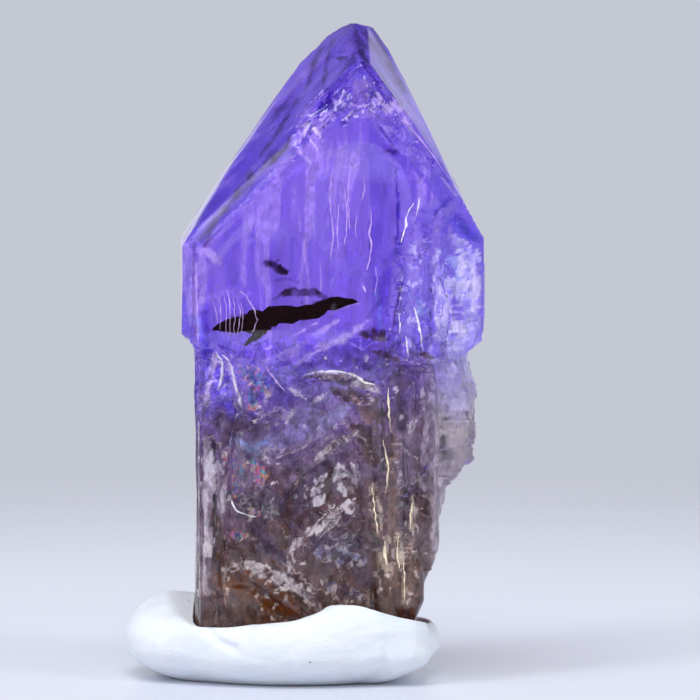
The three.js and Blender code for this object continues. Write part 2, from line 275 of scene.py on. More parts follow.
SIDE_FACES = {
    "front": (282, 0, (7.3, -2.3, 0)),
    "back": (90, 0, (0, 1.5, 0)),
    "left": (180, 0, (3.6, 0, 0)),
    "right_upper": (0, -3, (7.4, 0, 13.0)),
    "right": (350, 12, (7.62, -1.0, 9.9)),
    "back_right": (40, 0, (7.4, 0.5, 0)),
    "foot_right": (0, -42, (7.62, 0, 9.7)),
    "foot": (0, -90, (0, 0, 8.0)),
    "top": (0, 90, (0, 0, 14.3)),
}
# Growth columns: x, y, radius, foot and top
COLUMNS = [
    (5.2, -1.7, 0.9, 6.4, 14.6),
    (4.95, -2.5, 0.85, 4.7, 14.4),
    (4.3, -2.95, 0.75, 2.6, 14.3),
    (4.85, -0.6, 0.95, 4.3, 14.6),
    (4.55, 0.7, 1.0, 3.4, 14.6),
    (3.55, -3.15, 0.5, 1.4, 13.6),
    (3.05, -3.3, 0.32, 4.9, 9.6),
    (-3.75, -2.95, 0.5, 1.3, 11.6),
    (-3.85, -1.9, 0.55, 1.3, 14.4),
    (-3.3, 1.7, 0.55, 1.3, 14.4),
    (1.5, 3.35, 0.5, 1.6, 14.6),
    (5.0, -3.3, 0.6, 13.0, 18.9),
    (7.13, -1.3, 0.5, 13.9, 17.9),
]
COLUMN_END_TAPER = 0.5
COLUMN_END_HEIGHT = 1.2

# Terraces on the front and the back: their place in Y, and their outline in X and Z
FRONT_TERRACES = {
    "cap_skirt": (FRONT_Y + 0.04, [
        (-4.5, 16), (-4.75, 13.6), (-4.5, 11.3), (-3.3, 11.5), (-2.5, 13.2), (-1.0, 14.1), (1.4, 14.7),
        (3.3, 14.9), (3.8, 13.4), (5.0, 13.1), (5.9, 13.4), (6.3, 14.2), (6.1, 16)]),
    "window_rim": (FRONT_Y + 0.05, [
        (-0.4, 12.8), (1.9, 13.2), (3.4, 12.7), (3.9, 11.5), (3.8, 9.4), (3.3, 9.5), (3.35, 11.1),
        (2.9, 12.0), (1.8, 12.5), (-0.2, 12.2)]),
    "middle_terrace": (FRONT_Y + 0.25, [
        (-2.9, 10.6), (-1.2, 11.4), (1.0, 11.1), (2.2, 9.9), (0.6, 8.9), (-0.8, 7.6), (-2.2, 7.2),
        (-3.0, 8.3)]),
    "zigzag_ridge": (FRONT_Y - 0.05, [
        (-0.5, 5.1), (-0.2, 5.9), (0.7, 6.7), (1.4, 7.7), (1.9, 9.0), (2.5, 8.8), (2.1, 7.3), (1.3, 6.3),
        (0.3, 5.2)]),
    "diagonal_ledge": (FRONT_Y, [
        (-2.9, 5.4), (-2.2, 5.3), (-0.9, 4.4), (0.8, 3.1), (1.2, 2.2), (0.3, 2.4), (-1.4, 3.6),
        (-2.8, 4.5)]),
    "foot_terrace": (FRONT_Y + 0.2, [(1.6, 1.4), (1.5, 3.0), (2.4, 4.2), (3.2, 6.0), (3.3, 1.4)]),
}
BACK_TERRACES = {
    "broad_step": (BACK_Y + 0.25, [
        (-0.9, 7.6), (-0.5, 6.8), (2.2, 6.6), (2.6, 7.4), (2.5, 19.8), (1.4, 20.8), (-0.6, 19.2)]),
    "narrow_step": (BACK_Y + 0.45, [
        (0.1, 10.8), (0.6, 10.2), (2.9, 10.9), (3.2, 12.0), (3.1, 18.8), (2.2, 19.6), (0.2, 18.0)]),
}
FRONT_TERRACE_BEVEL = 0.34
BACK_TERRACE_BEVEL = 1.5
# Shell-like hollows: centre, half sizes, and turn about Y in degrees
SCOOPS = [
    ((-1.9, -4.5, 17.6), (3.4, 0.85, 2.9), 0),
    ((2.5, -4.3, 19.6), (2.5, 0.95, 3.3), -6),
    ((-0.2, -3.95, 10.4), (2.3, 0.85, 1.1), -26),
    ((1.5, -3.9, 7.9), (1.2, 0.7, 0.9), -35),
    ((1.9, -3.9, 4.9), (1.4, 1.0, 2.2), 24),
    ((-1.9, -3.75, 7.0), (1.2, 0.6, 1.5), 10),
    ((-1.6, -3.9, 2.9), (2.2, 1.0, 1.0), 36),
    ((7.6, -2.2, 11.4), (0.6, 0.9, 0.9), 0),
    ((-4.7, -1.0, 9.0), (0.6, 1.6, 1.9), 0),
    ((-2.6, 4.1, 4.4), (1.9, 0.9, 2.1), 20),
    ((3.6, 4.3, 8.0), (1.5, 1.1, 2.4), -15),
    ((7.9, 1.6, 16.4), (0.8, 1.2, 1.4), 0),
]
# The chipped edge of the front, in X and Z
ARCH_LINE = np.array([(-4.3, 18.4), (-0.6, 22.0), (1.9, 24.3), (2.75, 25.0), (3.9, 23.4), (6.2, 20.3),
                      (7.3, 18.9)])

# Broken flats of the surface: their depth in millimetres, how the space that they fill is
# squeezed along X, Y and Z, their size in millimetres, their seed and their tilt
FLATS = {
    "chipped edge": (0.42, (1, 1, 0.7), 0.85, 11, 1.5),
    "shoulder lumps": (0.26, (1, 1, 0.5), 0.8, 13, 1.3),
    "shoulder grain": (0.1, (1, 1, 1), 0.34, 14, 1.3),
    "broad breaks": (0.4, (1, 0.4, 0.8), 2.9, 5, 0.9),
    "small breaks": (0.16, (1, 0.6, 1), 0.6, 6, 1.4),
    "lobes": (0.26, (1, 1, 1), 1.1, 17, 1.2),
    "etched cap": (0.04, (1, 1, 0.35), 1.1, 61, 1.2),
    "side crystal": (0.2, (1, 1, 1), 0.8, 31, 0.9),
}
ETCH_DEEPER_BELOW_CAP = 5.0
# Between these heights the cloudy shaft passes into the clear cap
CAP_BORDER = (13.0, 14.4)
# The border of the frosted right shoulder, as X by height
SHOULDER_EDGE = {13.0: 3.6, 13.7: 3.6, 16.8: 3.75, 20.1: 4.9, 21.0: 5.4}
# The ramp that leads from the shaft's front to the cap's: heights of its foot and top, how uneven
# its foot is, its half width, and the heights between which it is looked for
RAMP_FOOT = 11.0
RAMP_TOP = 13.25
RAMP_UNEVEN = 1.6
RAMP_HALF_WIDTH = 4.3
RAMP_HEIGHTS = (10.9, 13.5)

# The grid: rows from foot to tip, and columns that stand closer on the front. Its rays start on
# an axis that leans towards the tip between two heights, and point at a rectangle round the prism.
CRYSTAL_ROWS = 400
COLUMNS_ACROSS = {"front": 144, "right": 30, "back": 44, "left": 28}
GUIDE_LEFT = -5.0
GUIDE_RIGHT = 7.6
AXIS_FOOT_X = 0.3
AXIS_LEAN_X = 1.95
AXIS_LEAN_Y = 1.0
AXIS_LEAN_HEIGHTS = (13, 26)
END_GAP = 0.004
# No relief takes away more than this share of the way out from the axis
MOST_TAKEN = 0.3
SHARP_EDGE_DEGREES = 24


def planes(faces):
    """Outward normals and offsets of flat faces. A normal points along its compass direction and
    leans up, and an offset is the normal's dot product with a point of the face."""
    rows = np.array([[azimuth, lean, *through] for azimuth, lean, through in faces.values()], dtype=float)
    azimuth, lean = np.radians(rows[:, 0]), np.radians(rows[:, 1])
    normals = np.stack([np.cos(azimuth) * np.cos(lean), np.sin(azimuth) * np.cos(lean), np.sin(lean)],
                       axis=1)
    return normals, (normals * rows[:, 2:]).sum(axis=1)


def block_span(faces, start, ray):
    """Where rays enter and leave a block of flat faces. Along a ray, the distance to each face
    is its gap over the ray's share of the normal: the last face turned against the ray is the
    way in, and the first face turned with it is the way out."""
    normals, offsets = planes(faces)
    share = ray @ normals.T
    gap = offsets - start @ normals.T
    steep = np.abs(share) > 1e-9
    distance = gap / np.where(steep, share, 1)
    leave = np.where(steep & (share > 0), distance, np.inf).min(axis=-1)
    enter = np.where(steep & (share < 0), distance, -np.inf).max(axis=-1)
    missed = (~steep & (gap < 0)).any(axis=-1) | (enter > leave)
    return np.where(missed, np.inf, enter), np.where(missed, -np.inf, leave)


def column_span(column, start, ray):
    """Where level rays leave an upright column. Its radius narrows in a straight line near both
    ends, and the way out is the ray's nearest point to the axis plus half the chord."""
    cx, cy, radius, foot, top = column
    end = radius * COLUMN_END_HEIGHT
    to_end = np.minimum(start[..., 2] - foot, top - start[..., 2])
    width = radius * (COLUMN_END_TAPER + (1 - COLUMN_END_TAPER) * np.clip(to_end / end, 0, 1))
    offset = np.stack([cx - start[..., 0], cy - start[..., 1]], axis=-1)
    along = (offset * ray[..., :2]).sum(axis=-1)
    chord = width**2 - ((offset**2).sum(axis=-1) - along**2)
    return np.where((to_end > 0) & (chord > 0), along + np.sqrt(np.maximum(chord, 0)), -np.inf)


def scooped(scoop, start, ray, reach):
    """A ray's reach cut back to where it enters an ellipsoid, if its end lies in the ellipsoid.
    In coordinates divided by the half sizes, the ellipsoid is a ball of radius 1."""
    centre, half, turn = scoop
    angle = np.radians(turn)
    # turning about Y takes X towards -Z for a positive angle
    unturn = np.array([[np.cos(angle), 0, -np.sin(angle)], [0, 1, 0], [np.sin(angle), 0, np.cos(angle)]])
    near = (start - np.array(centre)) @ unturn.T / np.array(half)
    heading = ray @ unturn.T / np.array(half)
    a = (heading**2).sum(axis=-1)
    b = (near * heading).sum(axis=-1)
    c = (near**2).sum(axis=-1) - 1
    root = b**2 - a * c
    enter = (-b - np.sqrt(np.maximum(root, 0))) / a
    leave = (-b + np.sqrt(np.maximum(root, 0))) / a
    inside = (root > 0) & (reach > enter) & (reach < leave)
    return np.where(inside, enter, reach)


def in_outline(outline, x, z):
    """True where a point lies inside an outline: a line from it towards +X crosses the outline an
    odd number of times."""
    inside = np.zeros(x.shape, dtype=bool)
    corners = np.array(outline)
    for (x0, z0), (x1, z1) in zip(corners, np.roll(corners, -1, axis=0)):
        crosses = (z0 > z) != (z1 > z)
        rise = z1 - z0 if z1 != z0 else 1e-9
        inside ^= crosses & (x < x0 + (z - z0) * (x1 - x0) / rise)
    return inside


def smooth(value, start, end):
    """0 before start, 1 after end, and a smooth rise in between."""
    share = np.clip((value - start) / (end - start), 0, 1)
    return share * share * (3 - 2 * share)


def lattice_random(cell, seed, parts):
    """Random numbers from 0 to 1 for whole-number lattice cells, the same each run: a sine of the
    cell's place, scaled up, of which the fraction is kept."""
    keys = cell @ np.array([127.1, 311.7, 74.7]) + seed * 53.13
    return [np.modf(np.abs(np.sin(keys + 19.19 * part) * 43758.5453))[0] for part in range(parts)]


def noise(place, size, seed):
    """Smooth random waves from 0 to 1: random values at lattice corners, blended by smooth
    shares of the place within its cell."""
    scaled = place / size
    cell = np.floor(scaled)
    share = scaled - cell
    share = share * share * (3 - 2 * share)
    total = np.zeros(place.shape[:-1])
    for corner in np.ndindex(2, 2, 2):
        corner = np.array(corner)
        weight = np.prod(np.where(corner == 1, share, 1 - share), axis=-1)
        total += weight * lattice_random(cell + corner, seed, 1)[0]
    return total


def facets(place, size, seed, tilt):
    """Broken flats: each point takes the nearest of one random centre per lattice cell, and its
    height there is a random level plus a random slope times the way to that centre."""
    scaled = place / size
    cell = np.floor(scaled)
    nearest = np.full(place.shape[:-1], np.inf)
    height = np.zeros(place.shape[:-1])
    for step in np.ndindex(3, 3, 3):
        neighbour = cell + np.array(step) - 1
        px, py, pz, level, slope_x, slope_z = lattice_random(neighbour, seed, 6)
        away = scaled - neighbour - np.stack([px, py, pz], axis=-1)
        distance = (away**2).sum(axis=-1)
        sloped = (slope_x - 0.5) * (away[..., 0] + away[..., 1]) + (slope_z - 0.5) * away[..., 2]
        closer = distance < nearest
        nearest = np.where(closer, distance, nearest)
        height = np.where(closer, level + tilt * sloped, height)
    return height


def flats(points, kind):
    """The depth of one kind of broken flats at points of the surface."""
    deep, squeeze, size, seed, tilt = FLATS[kind]
    return deep * facets(points * squeeze, size, seed, tilt)


def nearest_on(first, last, x, z):
    """Where a straight stretch comes nearest to points, as a share of the way along it, and how
    far it is from them there."""
    run, rise = last[0] - first[0], last[1] - first[1]
    along = np.clip(((x - first[0]) * run + (z - first[1]) * rise) / (run**2 + rise**2), 0, 1)
    return along, np.hypot(x - first[0] - along * run, z - first[1] - along * rise)


def line_gap(line, x, z):
    """Distance from points to a line of straight stretches."""
    return np.min([nearest_on(first, last, x, z)[1] for first, last in zip(line[:-1], line[1:])], axis=0)


# Guide points along the sides of the rectangle, evenly spaced on each side
corners = {
    "front": (GUIDE_LEFT, FRONT_Y),
    "right": (GUIDE_RIGHT, FRONT_Y),
    "back": (GUIDE_RIGHT, BACK_Y),
    "left": (GUIDE_LEFT, BACK_Y),
}
sides = list(corners)
guide = np.vstack([
    np.linspace(corners[side], corners[sides[(i + 1) % 4]], COLUMNS_ACROSS[side], endpoint=False)
    for i, side in enumerate(sides)
])
height = np.linspace(FOOT_Z, TOP_Z, CRYSTAL_ROWS + 2)[1:-1]
height[0], height[-1] = FOOT_Z + END_GAP, TOP_Z - END_GAP
lean_in = smooth(height, *AXIS_LEAN_HEIGHTS)
axis_x, axis_y = AXIS_FOOT_X + AXIS_LEAN_X * lean_in, AXIS_LEAN_Y * lean_in
axis_point = np.stack([axis_x, axis_y, height], axis=-1)[:, None, :]
heading = np.concatenate(
    [guide[None, :, :] - axis_point[..., :2], np.zeros((CRYSTAL_ROWS, len(guide), 1))], axis=-1
)
heading /= np.linalg.norm(heading, axis=-1, keepdims=True)
start = np.broadcast_to(axis_point, heading.shape)

reach = np.maximum(block_span(CAP_FACES, start, heading)[1], block_span(SHAFT_FACES, start, heading)[1])
reach = np.maximum(reach, block_span(SIDE_FACES, start, heading)[1])
for column in COLUMNS:
    reach = np.maximum(reach, column_span(column, start, heading))
terraces = [(FRONT_TERRACE_BEVEL, terrace) for terrace in FRONT_TERRACES.values()]
terraces += [(BACK_TERRACE_BEVEL, terrace) for terrace in BACK_TERRACES.values()]
for bevel, (level, outline) in terraces:
    to_level = (level - start[..., 1]) / np.where(np.abs(heading[..., 1]) > 0.2, heading[..., 1], 0.2)
    across = start[..., 0] + heading[..., 0] * to_level
    edge = line_gap(np.array(outline + outline[:1]), across, start[..., 2])
    cover = in_outline(outline, across, start[..., 2]) * (to_level > 0) * smooth(edge, 0, bevel)
    reach += cover * np.maximum(to_level - reach, 0)
# below the cap the front comes forward little by little, so that no straight ledge shows
ahead = np.minimum(heading[..., 1], -0.25)
ramp_foot = RAMP_FOOT + RAMP_UNEVEN * noise(start + heading * reach[..., None], 1.6, 18)
ramp_y = FRONT_Y + (SHAFT_FRONT_Y - FRONT_Y) * (1 - smooth(start[..., 2], ramp_foot, RAMP_TOP))
to_ramp = (ramp_y - start[..., 1]) / ahead
ramp_x = start[..., 0] + heading[..., 0] * to_ramp
on_ramp = (heading[..., 1] < -0.3) & (np.abs(ramp_x) < RAMP_HALF_WIDTH)
on_ramp &= (start[..., 2] > RAMP_HEIGHTS[0]) & (start[..., 2] < RAMP_HEIGHTS[1])
reach = np.where(on_ramp, np.maximum(reach, to_ramp), reach)
for scoop in SCOOPS:
    reach = scooped(scoop, start, heading, reach)
hit = start + heading * reach[..., None]


def grid_normals(points):
    """Outward unit normals of a closed grid, from the cross product of its two directions."""
    across = np.roll(points, -1, axis=1) - np.roll(points, 1, axis=1)
    up = np.gradient(points, axis=0)
    normal = np.cross(across, up)
    return normal / np.maximum(np.linalg.norm(normal, axis=-1, keepdims=True), 1e-12)


# Fractures, ledges and growth lines, as a depth below the faces
normal = grid_normals(hit)
px, py, pz = hit[..., 0], hit[..., 1], hit[..., 2]
facing_front = smooth(-normal[..., 1], 0.5, 0.9)
frontal = smooth(-py, 2.2, 3.1)
rear = smooth(py, 0.0, 2.0)
in_cap = smooth(pz, *CAP_BORDER)
below_cap = 1 - in_cap

# the chipped edge is broad round its top and fades out down both legs
arch = line_gap(ARCH_LINE, px, pz) + 0.25 * noise(hit, 0.6, 3)
arch_height = smooth(pz + 0.35 * (px - 2.4), 20.6, 23.4)
arch_band = (1 - smooth(arch, 0.1 + 0.55 * arch_height, 0.35 + 0.8 * arch_height)) * frontal * arch_height
depth = arch_band * (0.03 + 0.1 * arch_height + arch_height * flats(hit, "chipped edge"))

# shallow ripples run beside the left leg of the chipped edge
beside = arch * smooth(-px, -1.6, -0.6) * facing_front * in_cap
ripple = np.sin(2 * np.pi * (line_gap(ARCH_LINE[:3], px, pz) + 0.5 * noise(hit, 1.9, 8)) / 0.7)
depth += 0.03 * ripple * smooth(beside, 0.1, 0.5) * (1 - smooth(beside, 1.0, 2.0))

# the frosted right shoulder lies a step back, and is lumpy
shoulder_edge = np.interp(pz, list(SHOULDER_EDGE), list(SHOULDER_EDGE.values()))
shoulder = smooth(px - shoulder_edge, 0.0, 0.22) * frontal * in_cap * (1 - smooth(pz, 18.6, 20.2))
depth += shoulder * (0.14 + flats(hit, "shoulder lumps") + flats(hit, "shoulder grain"))

broken = facing_front * frontal * below_cap
rough_spots = smooth(noise(hit, 1.9, 51), 0.5, 0.72)
depth += broken * (flats(hit, "broad breaks") + rough_spots * flats(hit, "small breaks"))
lobes = frontal * (1 - smooth(np.abs(pz - 13.4), 0.5, 1.3))
depth += lobes * np.maximum(flats(hit, "lobes"), 0)

# the back is etched, more so down the shaft
depth += rear * (1 + ETCH_DEEPER_BELOW_CAP * below_cap) * flats(hit, "etched cap")
depth += rear * (0.015 + 0.035 * below_cap) * noise(hit, 0.35, 62)

# growth lines run along the prism, finer on the cap than on the shaft
stripe_place = np.stack([px + 0.7 * py, 0 * py, 0.035 * pz], axis=-1)
stripes = noise(stripe_place, 0.32, 21) - 0.5
fine_stripes = noise(stripe_place, 0.13, 22) - 0.5
upright = 1 - smooth(np.abs(normal[..., 2]), 0.25, 0.6)
plain_front = facing_front * in_cap
depth += upright * (0.045 - 0.03 * plain_front - 0.02 * in_cap * rear) * stripes
depth += upright * (0.022 - 0.014 * plain_front - 0.012 * in_cap * rear) * fine_stripes

side_mask = smooth(px, 5.4, 6.2) * below_cap
depth += side_mask * (flats(hit, "side crystal") + 0.1 * noise(hit, 0.3, 32))
depth += 0.2 * (noise(hit, 3.4, 41) - 0.5) + 0.05 * (noise(hit, 1.3, 42) - 0.5)
# nothing at the right stands past the prism's own faces
depth = np.where(px > 6.8, np.maximum(depth, 0), depth)

# near the tip, where the crystal is thin, nothing takes away more than a part of it
outward = np.clip((normal * heading).sum(axis=-1), 0.4, 1)
reach = reach - np.minimum(depth / outward, MOST_TAKEN * reach)
hit = start + heading * reach[..., None]

ends = np.array([[*axis_point[0, 0, :2], FOOT_Z], [*axis_point[-1, 0, :2], TOP_Z]])
crystal = tubes("crystal", [(hit * MM, ends * MM)])
crystal.data.set_sharp_from_angle(angle=np.radians(SHARP_EDGE_DEGREES))

CRYSTAL_IOR = 1.69
ABSORPTION_COLOUR = (0.24, 0.03, 1.0, 1)
ABSORPTION_PER_M = 95.0
CHIP_DEPTH = 0.05 * MM
# How the crystal tints light at its surface, by height in millimetres
SURFACE_TINTS = {
    1.2: (0.72, 0.55, 0.42),
    5.0: (0.80, 0.72, 0.72),
    10.0: (0.82, 0.76, 0.88),
    12.8: (0.71, 0.58, 0.90),
    14.6: (0.68, 0.51, 0.99),
    22.5: (0.67, 0.50, 0.99),
    25.3: (0.44, 0.31, 0.77),
    27.2: (0.38, 0.26, 0.69),
}
SIDE_TINT = (0.93, 0.90, 0.97)
SHOULDER_TINT = (0.80, 0.76, 1.0)
# Painted shade for the faces of the point that slope to the left and to the right
LEFT_SLOPE_SHADE = (0.36, 0.20, 0.86)
RIGHT_SLOPE_SHADE = (0.40, 0.27, 0.76)
# Darker marks on the front: tint, half width in millimetres and a line in picture pixels
SURFACE_MARKS = {
    "tip band": ((0.22, 0.13, 0.46), 0.20, [(357, 27), (361, 45), (366, 66)]),
    "tip right shade": ((0.26, 0.20, 0.34), 0.26, [(373, 42), (386, 68), (400, 92)]),
    "tip right edge": ((0.35, 0.27, 0.55), 0.14, [(381, 48), (394, 70), (408, 94)]),
    "tip left stroke": ((0.36, 0.24, 0.66), 0.16, [(320, 46), (312, 82)]),
    "tip middle stroke": ((0.38, 0.24, 0.78), 0.30, [(327, 50), (331, 86)]),
    "tip nick": ((0.20, 0.08, 0.40), 0.07, [(340, 61), (348, 58)]),
    "tip fold": ((0.34, 0.2, 0.8), 0.22, [(350, 62), (362, 76)]),
    "edge facet": ((0.24, 0.10, 0.80), 0.15, [(330, 93), (327, 108)]),
    "edge facet below": ((0.24, 0.10, 0.80), 0.11, [(321, 104), (319, 115)]),
    "hollow shade": ((0.34, 0.16, 0.74), 0.2, [(386, 150), (395, 153)]),
    "hollow line": ((0.40, 0.24, 0.80), 0.05, [(396, 165), (398, 205), (397, 252)]),
    "ink specks": ((0.16, 0.05, 0.34), 0.13, [(269, 262), (277, 267), (284, 271)]),
    "ink trail": ((0.34, 0.18, 0.62), 0.06, [(275, 281), (286, 278), (300, 283)]),
    "blue corner": ((0.36, 0.26, 1.0), 0.34, [(454, 222), (470, 236)]),
    "blue stroke": ((0.34, 0.2, 0.98), 0.08, [(434, 213), (447, 200)]),
    "left slope wedge": ((0.40, 0.26, 0.62), 0.2, [(200, 240), (222, 212), (252, 178), (285, 148)]),
    "left corner shade": ((0.22, 0.12, 0.30), 0.12, [(205, 246), (210, 232), (216, 220)]),
    "left edge line": ((0.30, 0.22, 0.36), 0.06, [(194, 244), (193, 290), (195, 345)]),
    "left deep shade": ((0.30, 0.18, 0.92), 0.24, [(204, 308), (206, 345), (207, 380)]),
    "under lens shade": ((0.34, 0.2, 0.9), 0.3, [(216, 338), (224, 346)]),
    # painted shade in the valley beside the frosted shoulder
    "painted shade in the valley beside the shoulder": ((0.42, 0.26, 0.92), 0.2,
                                   [(402, 245), (391, 258), (384, 290), (378, 330)]),
}


def tone_at(level, tones):
    """Colours by level: each channel runs in straight lines between the stops."""
    stops = sorted(tones)
    channels = [np.interp(level, stops, [tones[stop][i] for stop in stops]) for i in range(3)]
    return np.stack(channels, axis=-1)


def toned(colour, cover, tone):
    """Colours mixed towards one tone by a cover from 0 to 1."""
    return colour + cover[..., None] * (np.array(tone) - colour)


def with_alpha(colour):
    """Colours with a fourth channel of 1."""
    return np.concatenate([colour, np.ones(colour.shape[:-1] + (1,))], axis=-1)


def picture_place(across, down, depth):
    """X and Z in millimetres where the line of sight through a pixel, counted across and down the
    picture, meets an upright plane at a depth in Y: the camera's place plus the sight direction
    times the way to the plane over the direction's own share of depth."""
    aside = (np.asarray(across) - PICTURE / 2) * PIXEL
    up = (PICTURE / 2 - np.asarray(down)) * PIXEL
    travel = (depth * MM - camera.location.y) / (np.cos(CAMERA_RISE) + up * np.sin(CAMERA_RISE))
    x = camera.location.x + travel * aside
    z = camera.location.z + travel * (up * np.cos(CAMERA_RISE) - np.sin(CAMERA_RISE))
    return x / MM, z / MM


def front_line(pixels):
    """A line in picture pixels as X and Z on the plane of the broken front."""
    across, down = np.array(pixels, dtype=float).T
    return np.stack(picture_place(across, down, FRONT_Y), axis=-1)


def with_ends(grid):
    """The values of a grid piece's points, and for its two end points those of its end rows."""
    return np.concatenate([grid.reshape(-1, *grid.shape[2:]), grid[[0, -1], 0]])


def put_attribute(piece, name, values):
    """Stores a colour or a number for each point of a piece."""
    kind, key = ("FLOAT_COLOR", "color") if values.ndim == 2 else ("FLOAT", "value")
    stored = piece.data.attributes.new(name, kind, "POINT")
    stored.data.foreach_set(key, values.ravel().astype(np.float32))


def attribute(tree, name, output):
    """One output of a node that reads an attribute of the piece."""
    return node(tree, "ShaderNodeAttribute", attribute_name=name).outputs[output]


px, py, pz = hit[..., 0], hit[..., 1], hit[..., 2]
normal = grid_normals(hit)
on_front = smooth(-normal[..., 1], 0.05, 0.3)
not_behind = smooth(-py, -1.0, 1.0)
tint = tone_at(pz + 4 * (noise(hit, 2.2, 71) - 0.5), SURFACE_TINTS)
in_side = smooth(px, 5.3, 6.0) * (1 - smooth(pz, 13.2, 14.4))
in_shoulder = smooth(px - shoulder_edge, 0.0, 0.4) * on_front * in_cap * (1 - smooth(pz, 17.6, 19.4))
tint = toned(tint, in_side, SIDE_TINT)
tint = toned(tint, in_shoulder * 0.8, SHOULDER_TINT)
# the faces that slope to the left and to the right take darker tints: painted shade by the way they face
on_left_slope = smooth(-normal[..., 0], 0.35, 0.55) * smooth(pz, 18.4, 19.4) * not_behind
tint = toned(tint, on_left_slope * 0.45, LEFT_SLOPE_SHADE)
on_right_slope = smooth(normal[..., 0], 0.45, 0.65) * smooth(pz, 19.6, 21.2) * not_behind
uneven = 0.35 + 0.4 * noise(hit * [1, 1, 0.3], 0.5, 74)
tint = toned(tint, on_right_slope * uneven, RIGHT_SLOPE_SHADE)
for mark_tint, half_width, pixels in SURFACE_MARKS.values():
    gap = line_gap(front_line(pixels), px, pz) + 0.5 * half_width * (noise(hit, 0.25, 72) - 0.5)
    tint = toned(tint, on_front * (1 - smooth(gap, 0.45 * half_width, 1.25 * half_width)), mark_tint)
put_attribute(crystal, "tint", with_ends(with_alpha(tint)))

at_back = smooth(py, 0.2, 1.8)
frost = 0.03 + at_back * (0.60 - 0.08 * below_cap) + 0.22 * in_shoulder + 0.22 * in_side
frost += 0.3 * (1 - smooth(arch, 0.1, 0.6)) * (1 - arch_height) * on_front * in_cap
frost += 0.12 * below_cap * on_front * smooth(noise(hit, 0.9, 73), 0.5, 0.7)
put_attribute(crystal, "frost", with_ends(frost))
grit = 0.04 + 0.96 * below_cap + 0.5 * in_shoulder + 0.3 * arch_band
put_attribute(crystal, "grit", with_ends(grit))

crystal_material, tree, shader = material_of("tanzanite")
longer = times(tree, place_in_mm(tree), (1.0, 1.0, 0.45))
chips = node(tree, "ShaderNodeTexVoronoi", {"Vector": longer, "Scale": 3.2, "Randomness": 1.0})
pits = node(tree, "ShaderNodeTexNoise", {"Vector": longer, "Scale": 5.0, "Detail": 3.0})
rough_height = math_node(tree, "ADD", chips.outputs["Distance"], pits.outputs["Fac"])
rough_height = math_node(tree, "MULTIPLY", rough_height, attribute(tree, "grit", "Fac"))
bump = node(tree, "ShaderNodeBump", {"Height": rough_height, "Distance": CHIP_DEPTH, "Strength": 1.0})
fill(tree, shader, {
    "Base Color": attribute(tree, "tint", "Color"),
    "Roughness": attribute(tree, "frost", "Fac"),
    "Normal": bump.outputs[0],
    "IOR": CRYSTAL_IOR,
    "Transmission Weight": 1.0,
    "Specular IOR Level": 0.2,
})
absorb = node(tree, "ShaderNodeVolumeAbsorption", {"Color": ABSORPTION_COLOUR, "Density": ABSORPTION_PER_M})
fill(tree, tree.nodes["Material Output"], {"Volume": absorb.outputs[0]})
crystal.data.materials.append(crystal_material)
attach(crystal, "root")
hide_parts("tanzanite_crystal")


# Inside the shaft and the side crystal the stone is cloudy: old fractures, healed again, hold
# brown iron stain and fine bubbles. The cloud follows the outside a fraction of a millimetre in.
# Its white glints and its silver, golden and rainbow plates are painted light, and its darkest
# plates painted shade.
CLOUD_HEIGHTS = (1.5, 14.9)
CLOUD_ROWS = 300
CLOUD_COLUMNS = {"front": 220, "right": 34, "back": 40, "left": 30}
CLOUD_DEPTH = 0.16
CLOUD_UNEVEN = 0.12
CLOUD_COVER = 0.9
CLOUD_TONES = {
    1.4: (0.16, 0.07, 0.035),
    3.5: (0.17, 0.10, 0.09),
    6.5: (0.20, 0.12, 0.15),
    9.5: (0.26, 0.17, 0.28),
    12.0: (0.31, 0.22, 0.54),
    13.6: (0.33, 0.22, 0.86),
}
SIDE_TONES = {8.0: (0.66, 0.58, 0.58), 10.0: (0.68, 0.62, 0.50), 11.2: (0.68, 0.63, 0.62),
              12.4: (0.62, 0.58, 0.95)}
IRON_STAIN = (0.10, 0.035, 0.018)
CRACK_TONE = (0.95, 0.86, 0.82)
GLINT_TONE = (1.0, 0.94, 0.92)
# To the right of this X upright growth columns take the place of the slanting splinters
COLUMNS_FROM_X = 2.9
# Kinds of stretches painted on a cloud: tone, cover, softness and raggedness of the edge
STRETCHES = {
    "violet": ((0.16, 0.11, 0.42), 0.75, 0.8, 0.5),
    "bright violet": ((0.34, 0.22, 1.0), 0.85, 0.7, 0.6),
    "blue": ((0.20, 0.13, 0.85), 0.8, 0.6, 0.6),
    "grey lavender": ((0.42, 0.38, 0.66), 0.85, 0.7, 0.6),
    "pale": ((0.92, 0.86, 0.92), 0.92, 0.4, 0.8),
    # white stretches are painted glints
    "white": ((1.0, 0.96, 1.0), 0.95, 0.25, 0.9),
    "dark purple": ((0.09, 0.05, 0.11), 0.88, 0.8, 0.5),
    "ink": ((0.02, 0.01, 0.02), 0.95, 0.4, 0.9),
    "brown": ((0.10, 0.04, 0.022), 0.92, 0.4, 0.9),
    "tan": ((0.34, 0.22, 0.17), 0.85, 0.6, 0.7),
    "amber": ((0.20, 0.06, 0.004), 1.0, 0.6, 0.6),
    "sky": ((0.42, 0.58, 1.0), 0.75, 0.7, 0.9),
    # milk and haze stretches are painted light: the soft bright streaks that the clear cap refracts
    "milk": ((0.86, 0.78, 1.0), 0.85, 0.9, 0.7),
    "haze": ((0.66, 0.54, 1.0), 0.5, 1.0, 0.6),
    # deep and deep blue stretches are painted shade: the dark streaks that the clear cap refracts
    "deep": ((0.035, 0.012, 0.13), 0.9, 0.9, 0.5),
    "deep blue": ((0.04, 0.012, 0.45), 0.9, 0.5, 0.7),
    "window": ((0.46, 0.36, 0.74), 0.8, 0.3, 0.3),
    "umber": ((0.03, 0.01, 0.012), 0.95, 0.5, 0.9),
}
